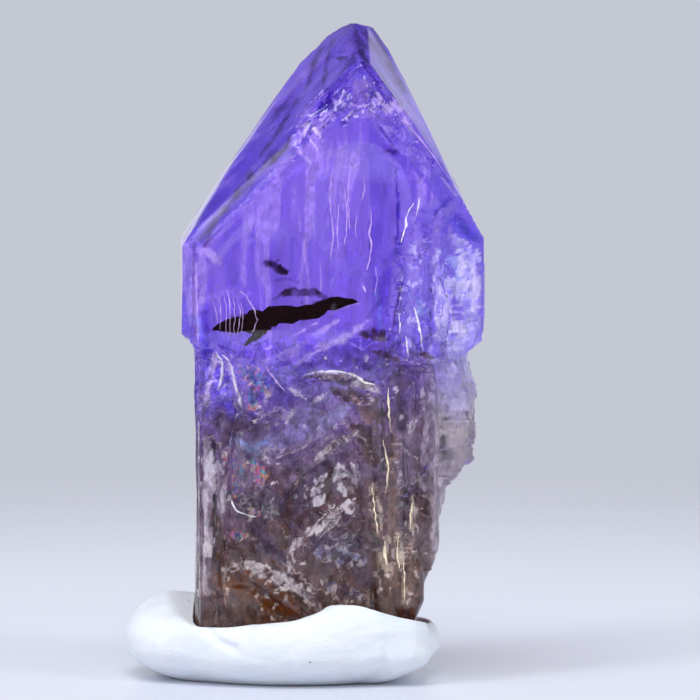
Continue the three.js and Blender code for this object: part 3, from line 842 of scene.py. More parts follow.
# Each stretch: its points as picture pixels across and down, and half width in pixels
SHAFT_STRETCHES = [
    ("bright violet", [(196, 345, 14), (202, 380, 13), (206, 412, 9)]),
    ("bright violet", [(232, 352, 16), (262, 352, 14), (300, 336, 14), (340, 320, 16), (356, 312, 10)]),
    ("bright violet", [(398, 338, 14), (430, 342, 14), (438, 356, 6)]),
    ("blue", [(214, 372, 9), (226, 398, 10), (236, 414, 7)]),
    ("blue", [(276, 372, 8), (262, 396, 7), (252, 414, 5)]),
    ("violet", [(252, 412, 14), (276, 400, 16), (304, 386, 12)]),
    ("violet", [(340, 352, 12), (366, 358, 16), (382, 372, 10)]),
    ("violet", [(330, 360, 10), (300, 368, 8), (280, 376, 6)]),
    ("grey lavender", [(274, 446, 9), (300, 432, 15), (330, 420, 12), (352, 404, 5)]),
    ("grey lavender", [(284, 416, 4), (306, 408, 7), (330, 396, 4)]),
    ("dark purple", [(250, 510, 18), (290, 505, 20), (330, 470, 16)]),
    ("dark purple", [(318, 540, 16), (345, 545, 22), (366, 580, 16)]),
    ("dark purple", [(240, 500, 10), (262, 540, 12), (286, 560, 8)]),
    ("dark purple", [(402, 372, 12), (400, 400, 12), (404, 432, 8)]),
    ("brown", [(300, 377, 1), (318, 377, 3), (342, 379, 7), (362, 383, 5), (380, 388, 1)]),
    ("brown", [(364, 332, 4), (376, 334, 8), (386, 338, 3)]),
    ("brown", [(374, 352, 2), (388, 355, 5), (398, 360, 2)]),
    ("brown", [(414, 352, 2), (426, 354, 4), (434, 358, 2)]),
    ("brown", [(330, 388, 4), (348, 396, 9), (372, 402, 10), (380, 420, 8)]),
    ("brown", [(352, 428, 5), (368, 436, 10), (374, 460, 7)]),
    ("brown", [(330, 470, 5), (324, 490, 7), (334, 506, 5)]),
    ("brown", [(300, 470, 4), (294, 492, 5), (286, 520, 6), (284, 545, 5)]),
    ("brown", [(210, 500, 4), (220, 540, 8), (240, 556, 8), (270, 566, 6)]),
    ("brown", [(286, 590, 6), (300, 606, 8), (330, 612, 8)]),
    ("brown", [(372, 520, 5), (380, 560, 6), (376, 600, 6)]),
    ("tan", [(390, 440, 9), (392, 480, 9), (394, 530, 8), (396, 580, 8)]),
    ("tan", [(352, 398, 5), (364, 412, 6), (376, 430, 5)]),
    ("tan", [(408, 540, 6), (412, 570, 8), (408, 600, 7)]),
    ("amber", [(222, 580, 10), (240, 590, 16), (270, 604, 14), (300, 612, 5)]),
    ("amber", [(212, 552, 3), (232, 566, 6), (258, 580, 6), (290, 600, 5)]),
    ("pale", [(214, 356, 4), (208, 384, 4), (204, 410, 3)]),
    ("ink", [(382, 400, 1.5), (384, 440, 2), (383, 480, 1.5)]),
    ("ink", [(404, 440, 1.5), (405, 490, 2), (404, 540, 1.5)]),
    ("ink", [(196, 420, 2), (198, 480, 2.5), (198, 560, 2)]),
    ("ink", [(213, 440, 1.5), (215, 500, 2), (214, 560, 2)]),
    ("ink", [(443, 364, 1.2), (444, 420, 1.5), (443, 476, 1.2)]),
    ("white", [(302, 374, 0.6), (322, 371, 1.6), (340, 372, 1.2), (357, 377, 1.6), (366, 384, 1),
               (378, 386, 0.6)]),
    ("white", [(288, 388, 1), (297, 393, 3), (306, 399, 1)]),
    ("white", [(311, 404, 1), (319, 398, 4), (327, 392, 1)]),
    ("white", [(286, 420, 1), (292, 412, 2.5), (297, 407, 0.6)]),
    ("white", [(310, 503, 1), (320, 498, 4), (328, 503, 1)]),
    ("white", [(351, 463, 1), (356, 470, 3.5), (359, 481, 1)]),
    ("white", [(222, 356, 0.8), (231, 366, 2), (234, 380, 1.5), (240, 400, 2), (241, 412, 1.5),
               (234, 417, 0.6)]),
    ("white", [(216, 353, 0.6), (222, 364, 1.6), (222, 376, 2), (218, 390, 0.6)]),
    ("sky", [(236, 440, 3), (252, 450, 8), (266, 440, 4)]),
]
# Tones of small plates, from the darkest at 0 to the lightest at 1
# silver plates are painted reflections of fracture faces that mirror the light, with painted shadow in their
# darkest tones
SILVER_PLATES = {
    0.0: (0.07, 0.02, 0.02), 0.3: (0.20, 0.11, 0.11), 0.48: (0.52, 0.44, 0.48), 0.66: (0.9, 0.86, 0.9),
    1.0: (1.0, 1.0, 1.0),
}
# rainbow plates are painted reflections: the interference colours that thin cracks reflect
RAINBOW_PLATES = {
    0.0: (0.06, 0.03, 0.24), 0.25: (0.10, 0.30, 0.85), 0.42: (0.20, 0.75, 0.55), 0.55: (0.55, 0.25, 0.75),
    0.7: (0.95, 0.15, 0.45), 0.85: (1.0, 0.45, 0.12), 1.0: (1.0, 0.9, 0.8),
}
PALE_PLATES = {
    0.0: (0.22, 0.16, 0.22), 0.4: (0.55, 0.47, 0.56), 0.7: (0.86, 0.80, 0.88), 1.0: (1.0, 0.98, 1.0),
}
# golden plates are painted highlights on the rims and ribs, with painted shadow in their darkest tones
GOLDEN_RIM_PLATES = {
    0.0: (0.10, 0.05, 0.03), 0.45: (0.36, 0.28, 0.24), 0.7: (0.72, 0.62, 0.52), 1.0: (1.0, 0.97, 0.9),
}
GOLDEN_RIB_PLATES = {
    0.0: (0.10, 0.05, 0.03), 0.4: (0.30, 0.20, 0.15), 0.62: (0.66, 0.52, 0.38), 1.0: (1.0, 0.94, 0.78),
}
BLUE_GLINT_PLATES = {
    0.0: (0.05, 0.03, 0.08), 0.5: (0.16, 0.12, 0.26), 0.72: (0.36, 0.42, 0.86), 0.88: (0.75, 0.8, 1.0),
    1.0: (1, 1, 1),
}
# chipped edge plates are painted highlights and painted shade of the chips
CHIPPED_EDGE_PLATES = {
    0.0: (0.03, 0.01, 0.22), 0.3: (0.13, 0.06, 0.55), 0.5: (0.30, 0.20, 0.74), 0.7: (0.50, 0.38, 0.80),
    0.86: (0.78, 0.68, 0.95), 1.0: (1.0, 0.98, 1.0),
}
FROSTED_PLATES = {
    0.0: (0.30, 0.24, 0.86), 0.35: (0.52, 0.48, 0.98), 0.6: (0.78, 0.78, 1.0), 1.0: (1.0, 1.0, 1.0),
}
CORNER_PLATES = {0.0: (0.12, 0.05, 0.50), 0.5: (0.5, 0.38, 0.95), 1.0: (0.95, 0.86, 1.0)}
# Crumbled spots of the shaft, as mosaics of small plates: the tones of the plates, their cover,
# their width in millimetres, how many times taller they are than wide, and the stretches they fill
SHAFT_MOSAICS = {
    "zigzag ridge": (SILVER_PLATES, 0.95, 0.26, 1.4, [
        [(291, 574, 2), (290, 560, 4), (293, 546, 5), (304, 538, 5), (317, 529, 5), (331, 520, 6)],
        [(328, 521, 5), (342, 513, 5), (352, 505, 6), (360, 498, 2)]]),
    "mirror patches": (SILVER_PLATES, 0.95, 0.34, 1.4, [
        [(338, 466, 3), (344, 478, 9), (350, 490, 9), (352, 500, 3)],
        [(303, 500, 2), (311, 491, 6), (318, 482, 6), (325, 474, 2)],
        [(308, 504, 2), (322, 499, 5), (334, 506, 2)]]),
    "diagonal ledge": (SILVER_PLATES, 0.85, 0.3, 1.4, [
        [(246, 563, 4), (262, 571, 6), (282, 581, 7), (302, 592, 7), (318, 608, 5)]]),
    "window's golden rim": (GOLDEN_RIM_PLATES, 0.85, 0.26, 1.4, [
        [(316, 460, 2), (328, 450, 4), (342, 441, 4), (356, 431, 2)],
        [(302, 378, 1), (322, 374, 3), (344, 376, 4), (362, 384, 4), (378, 390, 2)]]),
    "left column": (PALE_PLATES, 0.85, 0.34, 4.0, [
        [(205, 440, 4), (208, 470, 7), (207, 520, 6), (207, 590, 6)],
        [(217, 462, 2), (222, 482, 6), (220, 510, 4)]]),
    "right columns": (PALE_PLATES, 0.7, 0.3, 3.0, [
        [(427, 366, 4), (428, 400, 6), (428, 434, 6), (431, 470, 6)], [(422, 446, 5), (424, 484, 7)],
        [(436, 480, 5), (438, 510, 5), (434, 545, 5)]]),
    "upper rainbow": (RAINBOW_PLATES, 0.8, 0.30, 1.4,
                      [[(244, 370, 6), (258, 378, 11), (267, 390, 6)], [(250, 394, 5), (254, 404, 6)]]),
    "middle rainbow": (RAINBOW_PLATES, 0.8, 0.26, 1.4,
                       [[(228, 456, 5), (236, 470, 9), (232, 492, 7)],
                        [(253, 462, 5), (262, 474, 6), (258, 486, 4)]]),
    "lower rainbow": (RAINBOW_PLATES, 0.7, 0.2, 1.4,
                      [[(228, 536, 3), (236, 536, 6), (245, 536, 3)], [(250, 508, 2), (258, 514, 3)]]),
    "blue glints": (BLUE_GLINT_PLATES, 0.6, 0.24, 1.4, [
        [(320, 552, 5), (342, 556, 12), (362, 560, 5)], [(326, 584, 5), (346, 592, 9), (360, 598, 4)]]),
    "golden ribs": (GOLDEN_RIB_PLATES, 0.75, 0.24, 3.5, [
        [(374, 486, 3), (376, 510, 5), (379, 534, 3)], [(386, 540, 4), (387, 566, 5)],
        [(411, 498, 3), (411, 530, 4)], [(399, 536, 4), (400, 568, 4), (404, 600, 4)]]),
}
# How deep in a stretch a spot has to be for plates to be worked out there: further out none shows
PLATES_REACH = -1.5
CAP_STRETCHES = [
    ("milk", [(262, 362, 3), (285, 351, 6), (310, 338, 7), (338, 320, 2)]),
    ("milk", [(250, 360, 2), (272, 346, 4), (294, 335, 4), (318, 322, 2)]),
    ("milk", [(298, 362, 3), (322, 348, 8), (350, 334, 6), (368, 320, 3)]),
    ("milk", [(330, 314, 1), (344, 306, 4.5), (354, 303, 4.5), (360, 303, 1)]),
    ("haze", [(384, 318, 4), (389, 296, 7), (393, 274, 5), (397, 250, 2)]),
    ("haze", [(346, 30, 2), (349, 44, 6), (350, 58, 4)]),
    ("haze", [(361, 30, 2), (369, 42, 7), (376, 56, 4)]),
    ("window", [(361, 84, 7), (361, 102, 8)]),
    ("window", [(316, 122, 4), (319, 128, 5)]),
    ("window", [(356, 116, 4), (372, 114, 6), (384, 120, 3)]),
    ("deep blue", [(329, 93, 5), (327, 110, 3)]),
    ("deep blue", [(321, 104, 4), (319, 116, 2)]),
    ("deep", [(356, 28, 4), (359, 46, 6), (366, 66, 4)]),
    ("deep", [(374, 40, 4), (386, 66, 8), (402, 96, 5)]),
    ("deep", [(326, 40, 5), (318, 60, 7), (308, 92, 3)]),
    ("deep", [(334, 40, 3), (330, 64, 5), (324, 90, 3)]),
    ("deep", [(340, 60, 3), (348, 58, 2)]),
    ("deep", [(300, 100, 4), (282, 132, 6), (262, 160, 4)]),
    ("deep", [(288, 148, 5), (254, 178, 7), (222, 214, 6), (202, 240, 3)]),
    ("deep", [(292, 138, 3), (284, 152, 4), (272, 166, 3)]),
    ("deep", [(387, 150, 5), (394, 152, 6)]),
    ("milk", [(378, 126, 3), (388, 129, 5.5), (399, 137, 2)]),
    ("milk", [(341, 165, 2), (352, 166, 4.5), (359, 162, 2)]),
    ("haze", [(212, 240, 5), (240, 216, 10), (280, 184, 10), (306, 160, 5)]),
    ("haze", [(205, 300, 5), (226, 290, 10), (248, 296, 7)]),
    ("milk", [(203, 248, 3), (213, 257, 6), (222, 264, 2)]),
    ("haze", [(330, 190, 4), (338, 225, 10), (338, 262, 5)]),
    ("haze", [(402, 205, 3), (420, 245, 12), (418, 290, 12), (406, 330, 8)]),
    ("sky", [(412, 296, 5), (421, 305, 7), (416, 318, 4)]),
    ("sky", [(376, 290, 2), (380, 310, 5), (380, 332, 3)]),
    ("sky", [(196, 318, 4), (203, 334, 6), (201, 350, 4)]),
    # the first two umber stretches darken the veil round the dark lens: painted dark reflection, as the lens
    ("umber", [(214, 330, 2), (232, 326, 9), (250, 323, 12), (272, 318, 11), (300, 312, 8.5), (330, 306, 8),
               (348, 303, 3)]),
    ("umber", [(272, 300, 1), (286, 293, 4), (302, 290, 6), (318, 294, 4), (336, 300, 1)]),
    ("umber", [(362, 334, 3), (374, 333, 8), (388, 334, 3)]),
    ("umber", [(440, 342, 2), (447, 346, 4), (453, 342, 2)]),
    ("umber", [(266, 262, 3), (276, 266, 6), (286, 272, 3)]),
    ("white", [(315, 130, 1.5), (320, 136, 2.5), (323, 142, 1)]),
    ("white", [(309, 138, 1), (314, 145, 2), (318, 150, 1)]),
    ("white", [(301, 153, 1), (306, 158, 2.5), (311, 162, 1)]),
    ("white", [(352, 105, 1), (360, 108, 2.2), (369, 105, 1)]),
    ("white", [(375, 94, 1), (380, 98, 3), (379, 106, 1)]),
    ("white", [(384, 106, 1), (388, 110, 3), (393, 107, 1)]),
    ("white", [(394, 92, 1), (398, 99, 2), (402, 108, 1)]),
    ("white", [(456, 250, 1), (462, 262, 3), (460, 276, 1)]),
    ("white", [(470, 268, 2), (474, 290, 5), (470, 310, 2)]),
    ("white", [(448, 312, 1), (456, 326, 4), (466, 338, 2)]),
    ("white", [(441, 286, 1), (444, 302, 2.5), (442, 318, 1)]),
    ("sky", [(440, 250, 3), (452, 262, 6), (456, 280, 4)]),
    ("deep blue", [(456, 216, 4), (464, 230, 8), (474, 240, 4)]),
    ("deep blue", [(434, 214, 2), (448, 199, 3)]),
    ("deep", [(404, 256, 2), (401, 290, 4), (394, 332, 4)]),
    ("deep", [(430, 268, 2), (432, 300, 3), (430, 340, 3)]),
    ("deep blue", [(396, 166, 1.5), (399, 205, 2), (397, 252, 1.5)]),
    ("violet", [(204, 312, 4), (208, 340, 6), (212, 352, 4)]),
    ("violet", [(374, 250, 3), (386, 262, 5), (380, 300, 5), (368, 318, 4)]),
]
# Crumbled spots of the cap: the same, with plates of violet
CAP_MOSAICS = {
    "chipped edge": (CHIPPED_EDGE_PLATES, 0.85, 0.36, 1.4, [
        [(294, 158, 4), (304, 140, 8), (316, 119, 10), (332, 106, 12), (350, 100, 14), (368, 98, 15),
         (384, 103, 12), (397, 113, 8), (406, 124, 3)]]),
    "frosted shoulder": (FROSTED_PLATES, 0.8, 0.3, 1.4, [
        [(452, 236, 4), (464, 260, 14), (468, 296, 17), (464, 336, 12)],
        [(438, 266, 3), (446, 296, 11), (444, 338, 9)]]),
    "left corner": (CORNER_PLATES, 0.6, 0.3, 1.4, [
        [(200, 244, 3), (212, 256, 7), (222, 266, 4)], [(198, 280, 4), (200, 306, 5), (200, 336, 4)]]),
}


def resampled(grid, first_row, last_row, rows, columns_across):
    """A closed grid read again at other rows and columns, by straight-line mixing of the nearest
    ones. Rows run evenly between two fractional rows, and each side's columns run evenly."""
    up = np.linspace(first_row, last_row, rows)
    low = np.minimum(up.astype(int), grid.shape[0] - 2)
    share = (up - low)[:, None, None]
    grid = grid[low] * (1 - share) + grid[low + 1] * share
    ends = np.cumsum([0, *COLUMNS_ACROSS.values()])
    across = np.concatenate([
        np.linspace(ends[i], ends[i + 1], count, endpoint=False)
        for i, count in enumerate(columns_across.values())
    ])
    near = across.astype(int)
    share = (across - near)[None, :, None]
    return grid[:, near] * (1 - share) + grid[:, (near + 1) % grid.shape[1]] * share


def inner_shell(name, heights, rows, columns_across, inset, uneven, seed):
    """A closed shell that follows the crystal's outside: every point moves in towards the
    crystal's axis by the inset and a random share of the unevenness."""
    first, last = np.interp(heights, height, np.arange(CRYSTAL_ROWS))
    outside = resampled(hit, first, last, rows, columns_across)
    middle = resampled(start, first, last, rows, columns_across)
    inward = middle - outside
    width = np.linalg.norm(inward, axis=-1, keepdims=True)
    move = (inset + uneven * noise(outside, 0.7, seed))[..., None]
    shell = outside + inward / width * np.minimum(move, 0.5 * width)
    return tubes(name, [(shell * MM, middle[[0, -1], 0] * MM)]), shell


def picture_of(place):
    """Pixels across and down the picture where points in millimetres are seen: how far a point is
    to the right of the camera and above its line of sight, each over how far it is ahead."""
    away = place * MM - np.array(camera.location)
    ahead = away @ -np.array(camera_back)
    above = away @ np.array([0.0, np.sin(CAMERA_RISE), np.cos(CAMERA_RISE)])
    return PICTURE / 2 + away[..., 0] / ahead / PIXEL, PICTURE / 2 - above / ahead / PIXEL


def in_stretch(points, across, down):
    """How deep places are in a stretch: 1 on its middle line, 0 at its half width, less outside."""
    inside = np.full(across.shape, -9.0)
    for first, last in zip(points[:-1], points[1:]):
        along, away = nearest_on(first, last, across, down)
        inside = np.maximum(inside, 1 - away / (first[2] + along * (last[2] - first[2])))
    return inside


def seen_from_front(shell):
    """Where points of a shell are in the picture, and how much they face the front, 0 to 1."""
    return *picture_of(shell), smooth(-grid_normals(shell)[..., 1], 0.05, 0.3)


def painted(tone, cover, shell, stretches, streak):
    """Tone and cover of a shell with stretches painted on its front. How deep a point is in a
    stretch is moved by fine noise, which frays the stretch's edge."""
    across, down, facing = seen_from_front(shell)
    pixel_place = np.stack([across, down, 0 * down], axis=-1)
    fray = 0.6 * noise(pixel_place, 7.0, 111) + 0.4 * noise(pixel_place, 2.6, 112) - 0.5
    for kind, points in stretches:
        kind_tone, kind_cover, softness, ragged = STRETCHES[kind]
        share = smooth(in_stretch(points, across, down) + 2 * ragged * fray, 0.0, softness) * facing
        tone = toned(tone, share * kind_cover, kind_tone)
        cover = np.maximum(cover, share * kind_cover * streak)
    return tone, cover


def laid_plates(tone, cover, shell, mosaics):
    """Tone and cover of a shell with crumbled spots on its front. Each plate is the spot nearest
    to one random centre, large and small ones added up, and takes its tone by its random level."""
    across, down, facing = seen_from_front(shell)
    for plate_tones, plate_cover, size, tall, stretches in mosaics.values():
        inside = np.max([in_stretch(points, across, down) for points in stretches], axis=0)
        near = inside > PLATES_REACH
        place = shell[near] * [1, 1, 1 / tall]
        plates = 0.6 * facets(place, size, 128, 0.5) + 0.4 * facets(place, 0.5 * size, 129, 0)
        share = smooth(inside[near] + 1.2 * (plates - 0.5), 0.0, 0.2) * facing[near] * plate_cover
        plate_tone = tone_at(np.clip(1.7 * (plates - 0.5) + 0.5, 0, 1), plate_tones)
        tone[near] += share[:, None] * (plate_tone - tone[near])
        cover[near] = np.maximum(cover[near], share)
    return tone, cover


MOTTLE = bpy.data.node_groups.new("crumbled mottle", "ShaderNodeTree")
MOTTLE.interface.new_socket("Tone", in_out="INPUT", socket_type="NodeSocketColor")
MOTTLE.interface.new_socket("Amount", in_out="INPUT", socket_type="NodeSocketFloat")
MOTTLE.interface.new_socket("Colour", in_out="OUTPUT", socket_type="NodeSocketColor")
# the tone times a level of 1 plus the amount's share of small angular cells and fine noise
given = MOTTLE.nodes.new("NodeGroupInput")
longer = times(MOTTLE, place_in_mm(MOTTLE), (1.0, 1.0, 0.5))
cells = node(MOTTLE, "ShaderNodeTexVoronoi", {"Vector": longer, "Scale": 4.2}).outputs["Color"]
cell = node(MOTTLE, "ShaderNodeSeparateColor", {0: cells}).outputs[0]
fine = node(MOTTLE, "ShaderNodeTexNoise", {"Vector": longer, "Scale": 9.0, "Detail": 2.0}).outputs["Fac"]
spread = math_node(MOTTLE, "ADD", cell, math_node(MOTTLE, "MULTIPLY", fine, 2.2))
spread = math_node(MOTTLE, "MULTIPLY", math_node(MOTTLE, "SUBTRACT", spread, 1.6), given.outputs["Amount"])
level = math_node(MOTTLE, "ADD", spread, 1.0)
shade = node(MOTTLE, "ShaderNodeCombineXYZ", {0: level, 1: level, 2: level}).outputs[0]
mottled = mix_colour(MOTTLE, 1.0, given.outputs["Tone"], shade, "MULTIPLY")
node(MOTTLE, "NodeGroupOutput", {"Colour": mottled})


def inclusion_material(name, roughness, specular, painted_glow, amount):
    """A material that takes its colour and its cover from the piece's own attributes, with the
    crumbled mottle over the colour. It also glows in that colour by the painted glow: painted
    light, as if light scattered inside the stone."""
    made, tree, shader = material_of(name)
    tone = attribute(tree, "tone", "Color")
    mottled = node(tree, "ShaderNodeGroup", {"Tone": tone, "Amount": amount}, node_tree=MOTTLE)
    fill(tree, shader, {
        "Base Color": mottled.outputs["Colour"],
        # the emission is painted light: the inclusions glow though nothing in them is a lamp
        "Emission Color": mottled.outputs["Colour"],
        "Emission Strength": painted_glow,
        "Alpha": attribute(tree, "cover", "Fac"),
        "Roughness": roughness,
        "Specular IOR Level": specular,
    })
    return made


cloudy, cloud = inner_shell(
    "cloudy_inside", CLOUD_HEIGHTS, CLOUD_ROWS, CLOUD_COLUMNS, CLOUD_DEPTH, CLOUD_UNEVEN, 81
)
cx, cy, cz = cloud[..., 0], cloud[..., 1], cloud[..., 2]
slant = np.stack([(cz * 0.62 - cx * 0.78) * 0.16, cy * 0.5, cx * 0.62 + cz * 0.78], axis=-1)
upright_place = np.stack([cx + 0.6 * cy, cy * 0, cz * 0.09], axis=-1)
# the cloud reaches higher on the right than on the left
upper = cz - 0.24 * (cx - 0.5)
tone = tone_at(upper + 2.4 * (noise(cloud, 1.7, 82) - 0.5), CLOUD_TONES)
stained = smooth(noise(cloud, 1.0, 84) * 0.6 + noise(cloud, 0.34, 85) * 0.4, 0.54, 0.64)
tone = toned(tone, stained * 0.6 * (1 - smooth(cz, 10.5, 12.5)), IRON_STAIN)
cloud_side = smooth(cx, 5.2, 5.6)
side_tone = tone_at(cz + 1.2 * noise(cloud, 0.6, 86) - 0.6, SIDE_TONES)
tone = toned(tone, cloud_side, side_tone)
thinned = smooth(upper + 1.2 * (noise(cloud, 0.9, 92) - 0.5), 12.6, 14.0)
cover = CLOUD_COVER * (1 - thinned) * (1 - 0.35 * cloud_side)
cover *= 0.75 + 0.25 * smooth(noise(cloud, 0.5, 91), 0.25, 0.5)
streak = noise(slant, 0.22, 87) * 0.6 + noise(slant, 0.09, 88) * 0.4
tone, cover = painted(tone, cover, cloud, SHAFT_STRETCHES, 0.75 + 0.4 * streak)
# thin bright crack edges wander over the whole shaft
wander = noise(slant * [1, 1, 0.5], 0.5, 93) + 0.3 * noise(cloud, 0.2, 94)
cracks = (1 - smooth(np.abs(wander - 0.65), 0.006, 0.03)) * smooth(noise(cloud, 1.1, 95), 0.45, 0.6)
tone = toned(tone, 0.7 * cracks * (1 - smooth(cz, 11.5, 13.0)), CRACK_TONE)
grain = noise(upright_place, 0.16, 89)
# crisp splinters and crumbs of broken stone, the brightest of them as glints
splinters = facets(slant, 0.24, 96, 0.4)
crumbs = facets(cloud * [1, 0.6, 0.8], 0.2, 97, 0.3)
glints = smooth(crumbs, 0.96, 1.0) * smooth(noise(cloud, 1.3, 98), 0.5, 0.65) * smooth(-cy, 0.0, 2.0)
tone = toned(tone, 0.75 * glints * (1 - cloud_side), GLINT_TONE)
in_columns = cx > COLUMNS_FROM_X
shade = 0.38 + 0.45 * np.where(in_columns, grain, streak)
shade = shade + 0.5 * np.where(in_columns, 0.5, splinters) + 0.35 * crumbs
tone = tone * shade[..., None]
tone, cover = laid_plates(tone, cover, cloud, SHAFT_MOSAICS)
tone = np.clip(tone, 0, 1)
put_attribute(cloudy, "tone", with_ends(with_alpha(tone)))
cover = np.clip(cover, 0, 1) * (1 - smooth(cz, 14.2, 14.8))
put_attribute(cloudy, "cover", with_ends(cover))
cloudy.data.materials.append(inclusion_material("cloudy inside", 0.35, 0.5, 0.22, 0.68))
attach(cloudy, "root")


# The clear cap holds only thin veils of tiny bubbles just under its faces: soft lilac streaks
# above the cloud, a frosted patch in the right shoulder, and a faint haze. Its bright and dark
# streaks are painted light and painted shade, in place of what the clear cap refracts.
VEIL_HEIGHTS = (12.9, 26.95)
VEIL_ROWS = 250
VEIL_COLUMNS = {"front": 170, "right": 34, "back": 40, "left": 30}
VEIL_DEPTH = 0.22
VEIL_UNEVEN = 0.1
VEIL_TONE = (0.42, 0.26, 0.98)
VEIL_PAINTED_LIGHT = (0.74, 0.60, 1.0)
VEIL_PAINTED_SHADE = (0.06, 0.025, 0.24)
VEIL_COVER = 0.06
VEIL_STREAK_COVER = 0.55

veil, veil_shell = inner_shell(
    "bubble_veils_and_painted_light", VEIL_HEIGHTS, VEIL_ROWS, VEIL_COLUMNS, VEIL_DEPTH, VEIL_UNEVEN, 121
)
vx, vy, vz = veil_shell[..., 0], veil_shell[..., 1], veil_shell[..., 2]
veil_normal = grid_normals(veil_shell)
# the painted streaks of light and shade run down each sloping face of the point, and upright elsewhere
sloping = smooth(veil_normal[..., 2], 0.3, 0.5)
to_left = sloping * (veil_normal[..., 0] < 0)
to_right = sloping * (veil_normal[..., 0] >= 0)
level = 1 - to_left - to_right
across_streaks = level * (vx + 0.6 * vy)
across_streaks += to_left * (0.79 * vx - 0.61 * vz + 0.4 * vy)
across_streaks += to_right * (0.87 * vx + 0.5 * vz + 0.4 * vy)
streak_place = np.stack([across_streaks, 0.3 * vy, 0.10 * vz], axis=-1)
grain = 0.6 * noise(streak_place, 0.34, 125) + 0.4 * noise(streak_place, 0.12, 126)
blotch = noise(veil_shell * [1, 1, 0.6], 1.3, 127)
# painted light and painted shade: light streaks, and dark ones that are stronger on the sloping faces
painted_light_streaks = smooth(grain + 0.5 * (blotch - 0.5), 0.55, 0.75)
painted_shade_streaks = smooth(1 - grain + 0.5 * (0.5 - blotch), 0.52, 0.72) * (0.6 + 0.4 * sloping)
tone = toned(np.broadcast_to(VEIL_TONE, veil_shell.shape), painted_light_streaks, VEIL_PAINTED_LIGHT)
tone = toned(tone, painted_shade_streaks, VEIL_PAINTED_SHADE)
light_cover, dark_cover = painted_light_streaks * (0.8 - 0.3 * sloping), painted_shade_streaks * (0.6 + 0.6 * sloping)
cover = VEIL_COVER + VEIL_STREAK_COVER * np.maximum(light_cover, dark_cover)
cover += 0.12 * smooth(vy, 0.5, 2.0)
cover *= smooth(vz, 13.0, 14.0)
flow = np.stack([(vz * 0.87 - vx * 0.5) * 0.5, vy * 0.3, vx * 0.87 + vz * 0.5], axis=-1)
streak = np.where(vz < 15.5, noise(flow, 0.16, 123), noise(veil_shell, 0.25, 124))
tone, cover = laid_plates(tone, cover, veil_shell, CAP_MOSAICS)
tone, cover = painted(tone, cover, veil_shell, CAP_STRETCHES, 0.35 + 1.0 * streak)
put_attribute(veil, "tone", with_ends(with_alpha(tone)))
cover = np.clip(cover, 0, 1) * smooth(vz, 12.95, 13.5) * (1 - smooth(vz, 26.7, 26.9))
put_attribute(veil, "cover", with_ends(cover))
veil.data.materials.append(inclusion_material("bubble veils and painted light", 0.5, 0.2, 0.38, 0.45))
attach(veil, "root")


# A dark brown lens with a spur lies across the cap just under its front: a dark sheet, painted
# in place of the dark reflection in a fracture there. Fine healed cracks, white, rosy or golden,
# come up to the surface, and their thin bright lines are painted glints.
STRAND_STEPS = 26
STRAND_AROUND = 10
# Each kind of strand: colour, cover, depth under the surface, thickness, both in millimetres, and
# how far its middle line and its width wander, in pixels and as a share
STRAND_KINDS = {
    "dark": ((0.03, 0.006, 0.006), 1.0, 0.09, 0.05, 1.2, 0.3),
    # rose, silver and gold strands are painted glints along the edges of healed cracks
    "rose": ((0.85, 0.60, 1.0), 0.5, 0.0, 0.012, 0.8, 0.7),
    "silver": ((1.0, 0.98, 1.0), 0.75, 0.0, 0.02, 1.0, 0.8),
    "gold": ((0.95, 0.84, 0.62), 0.8, 0.0, 0.03, 1.0, 0.8),
}
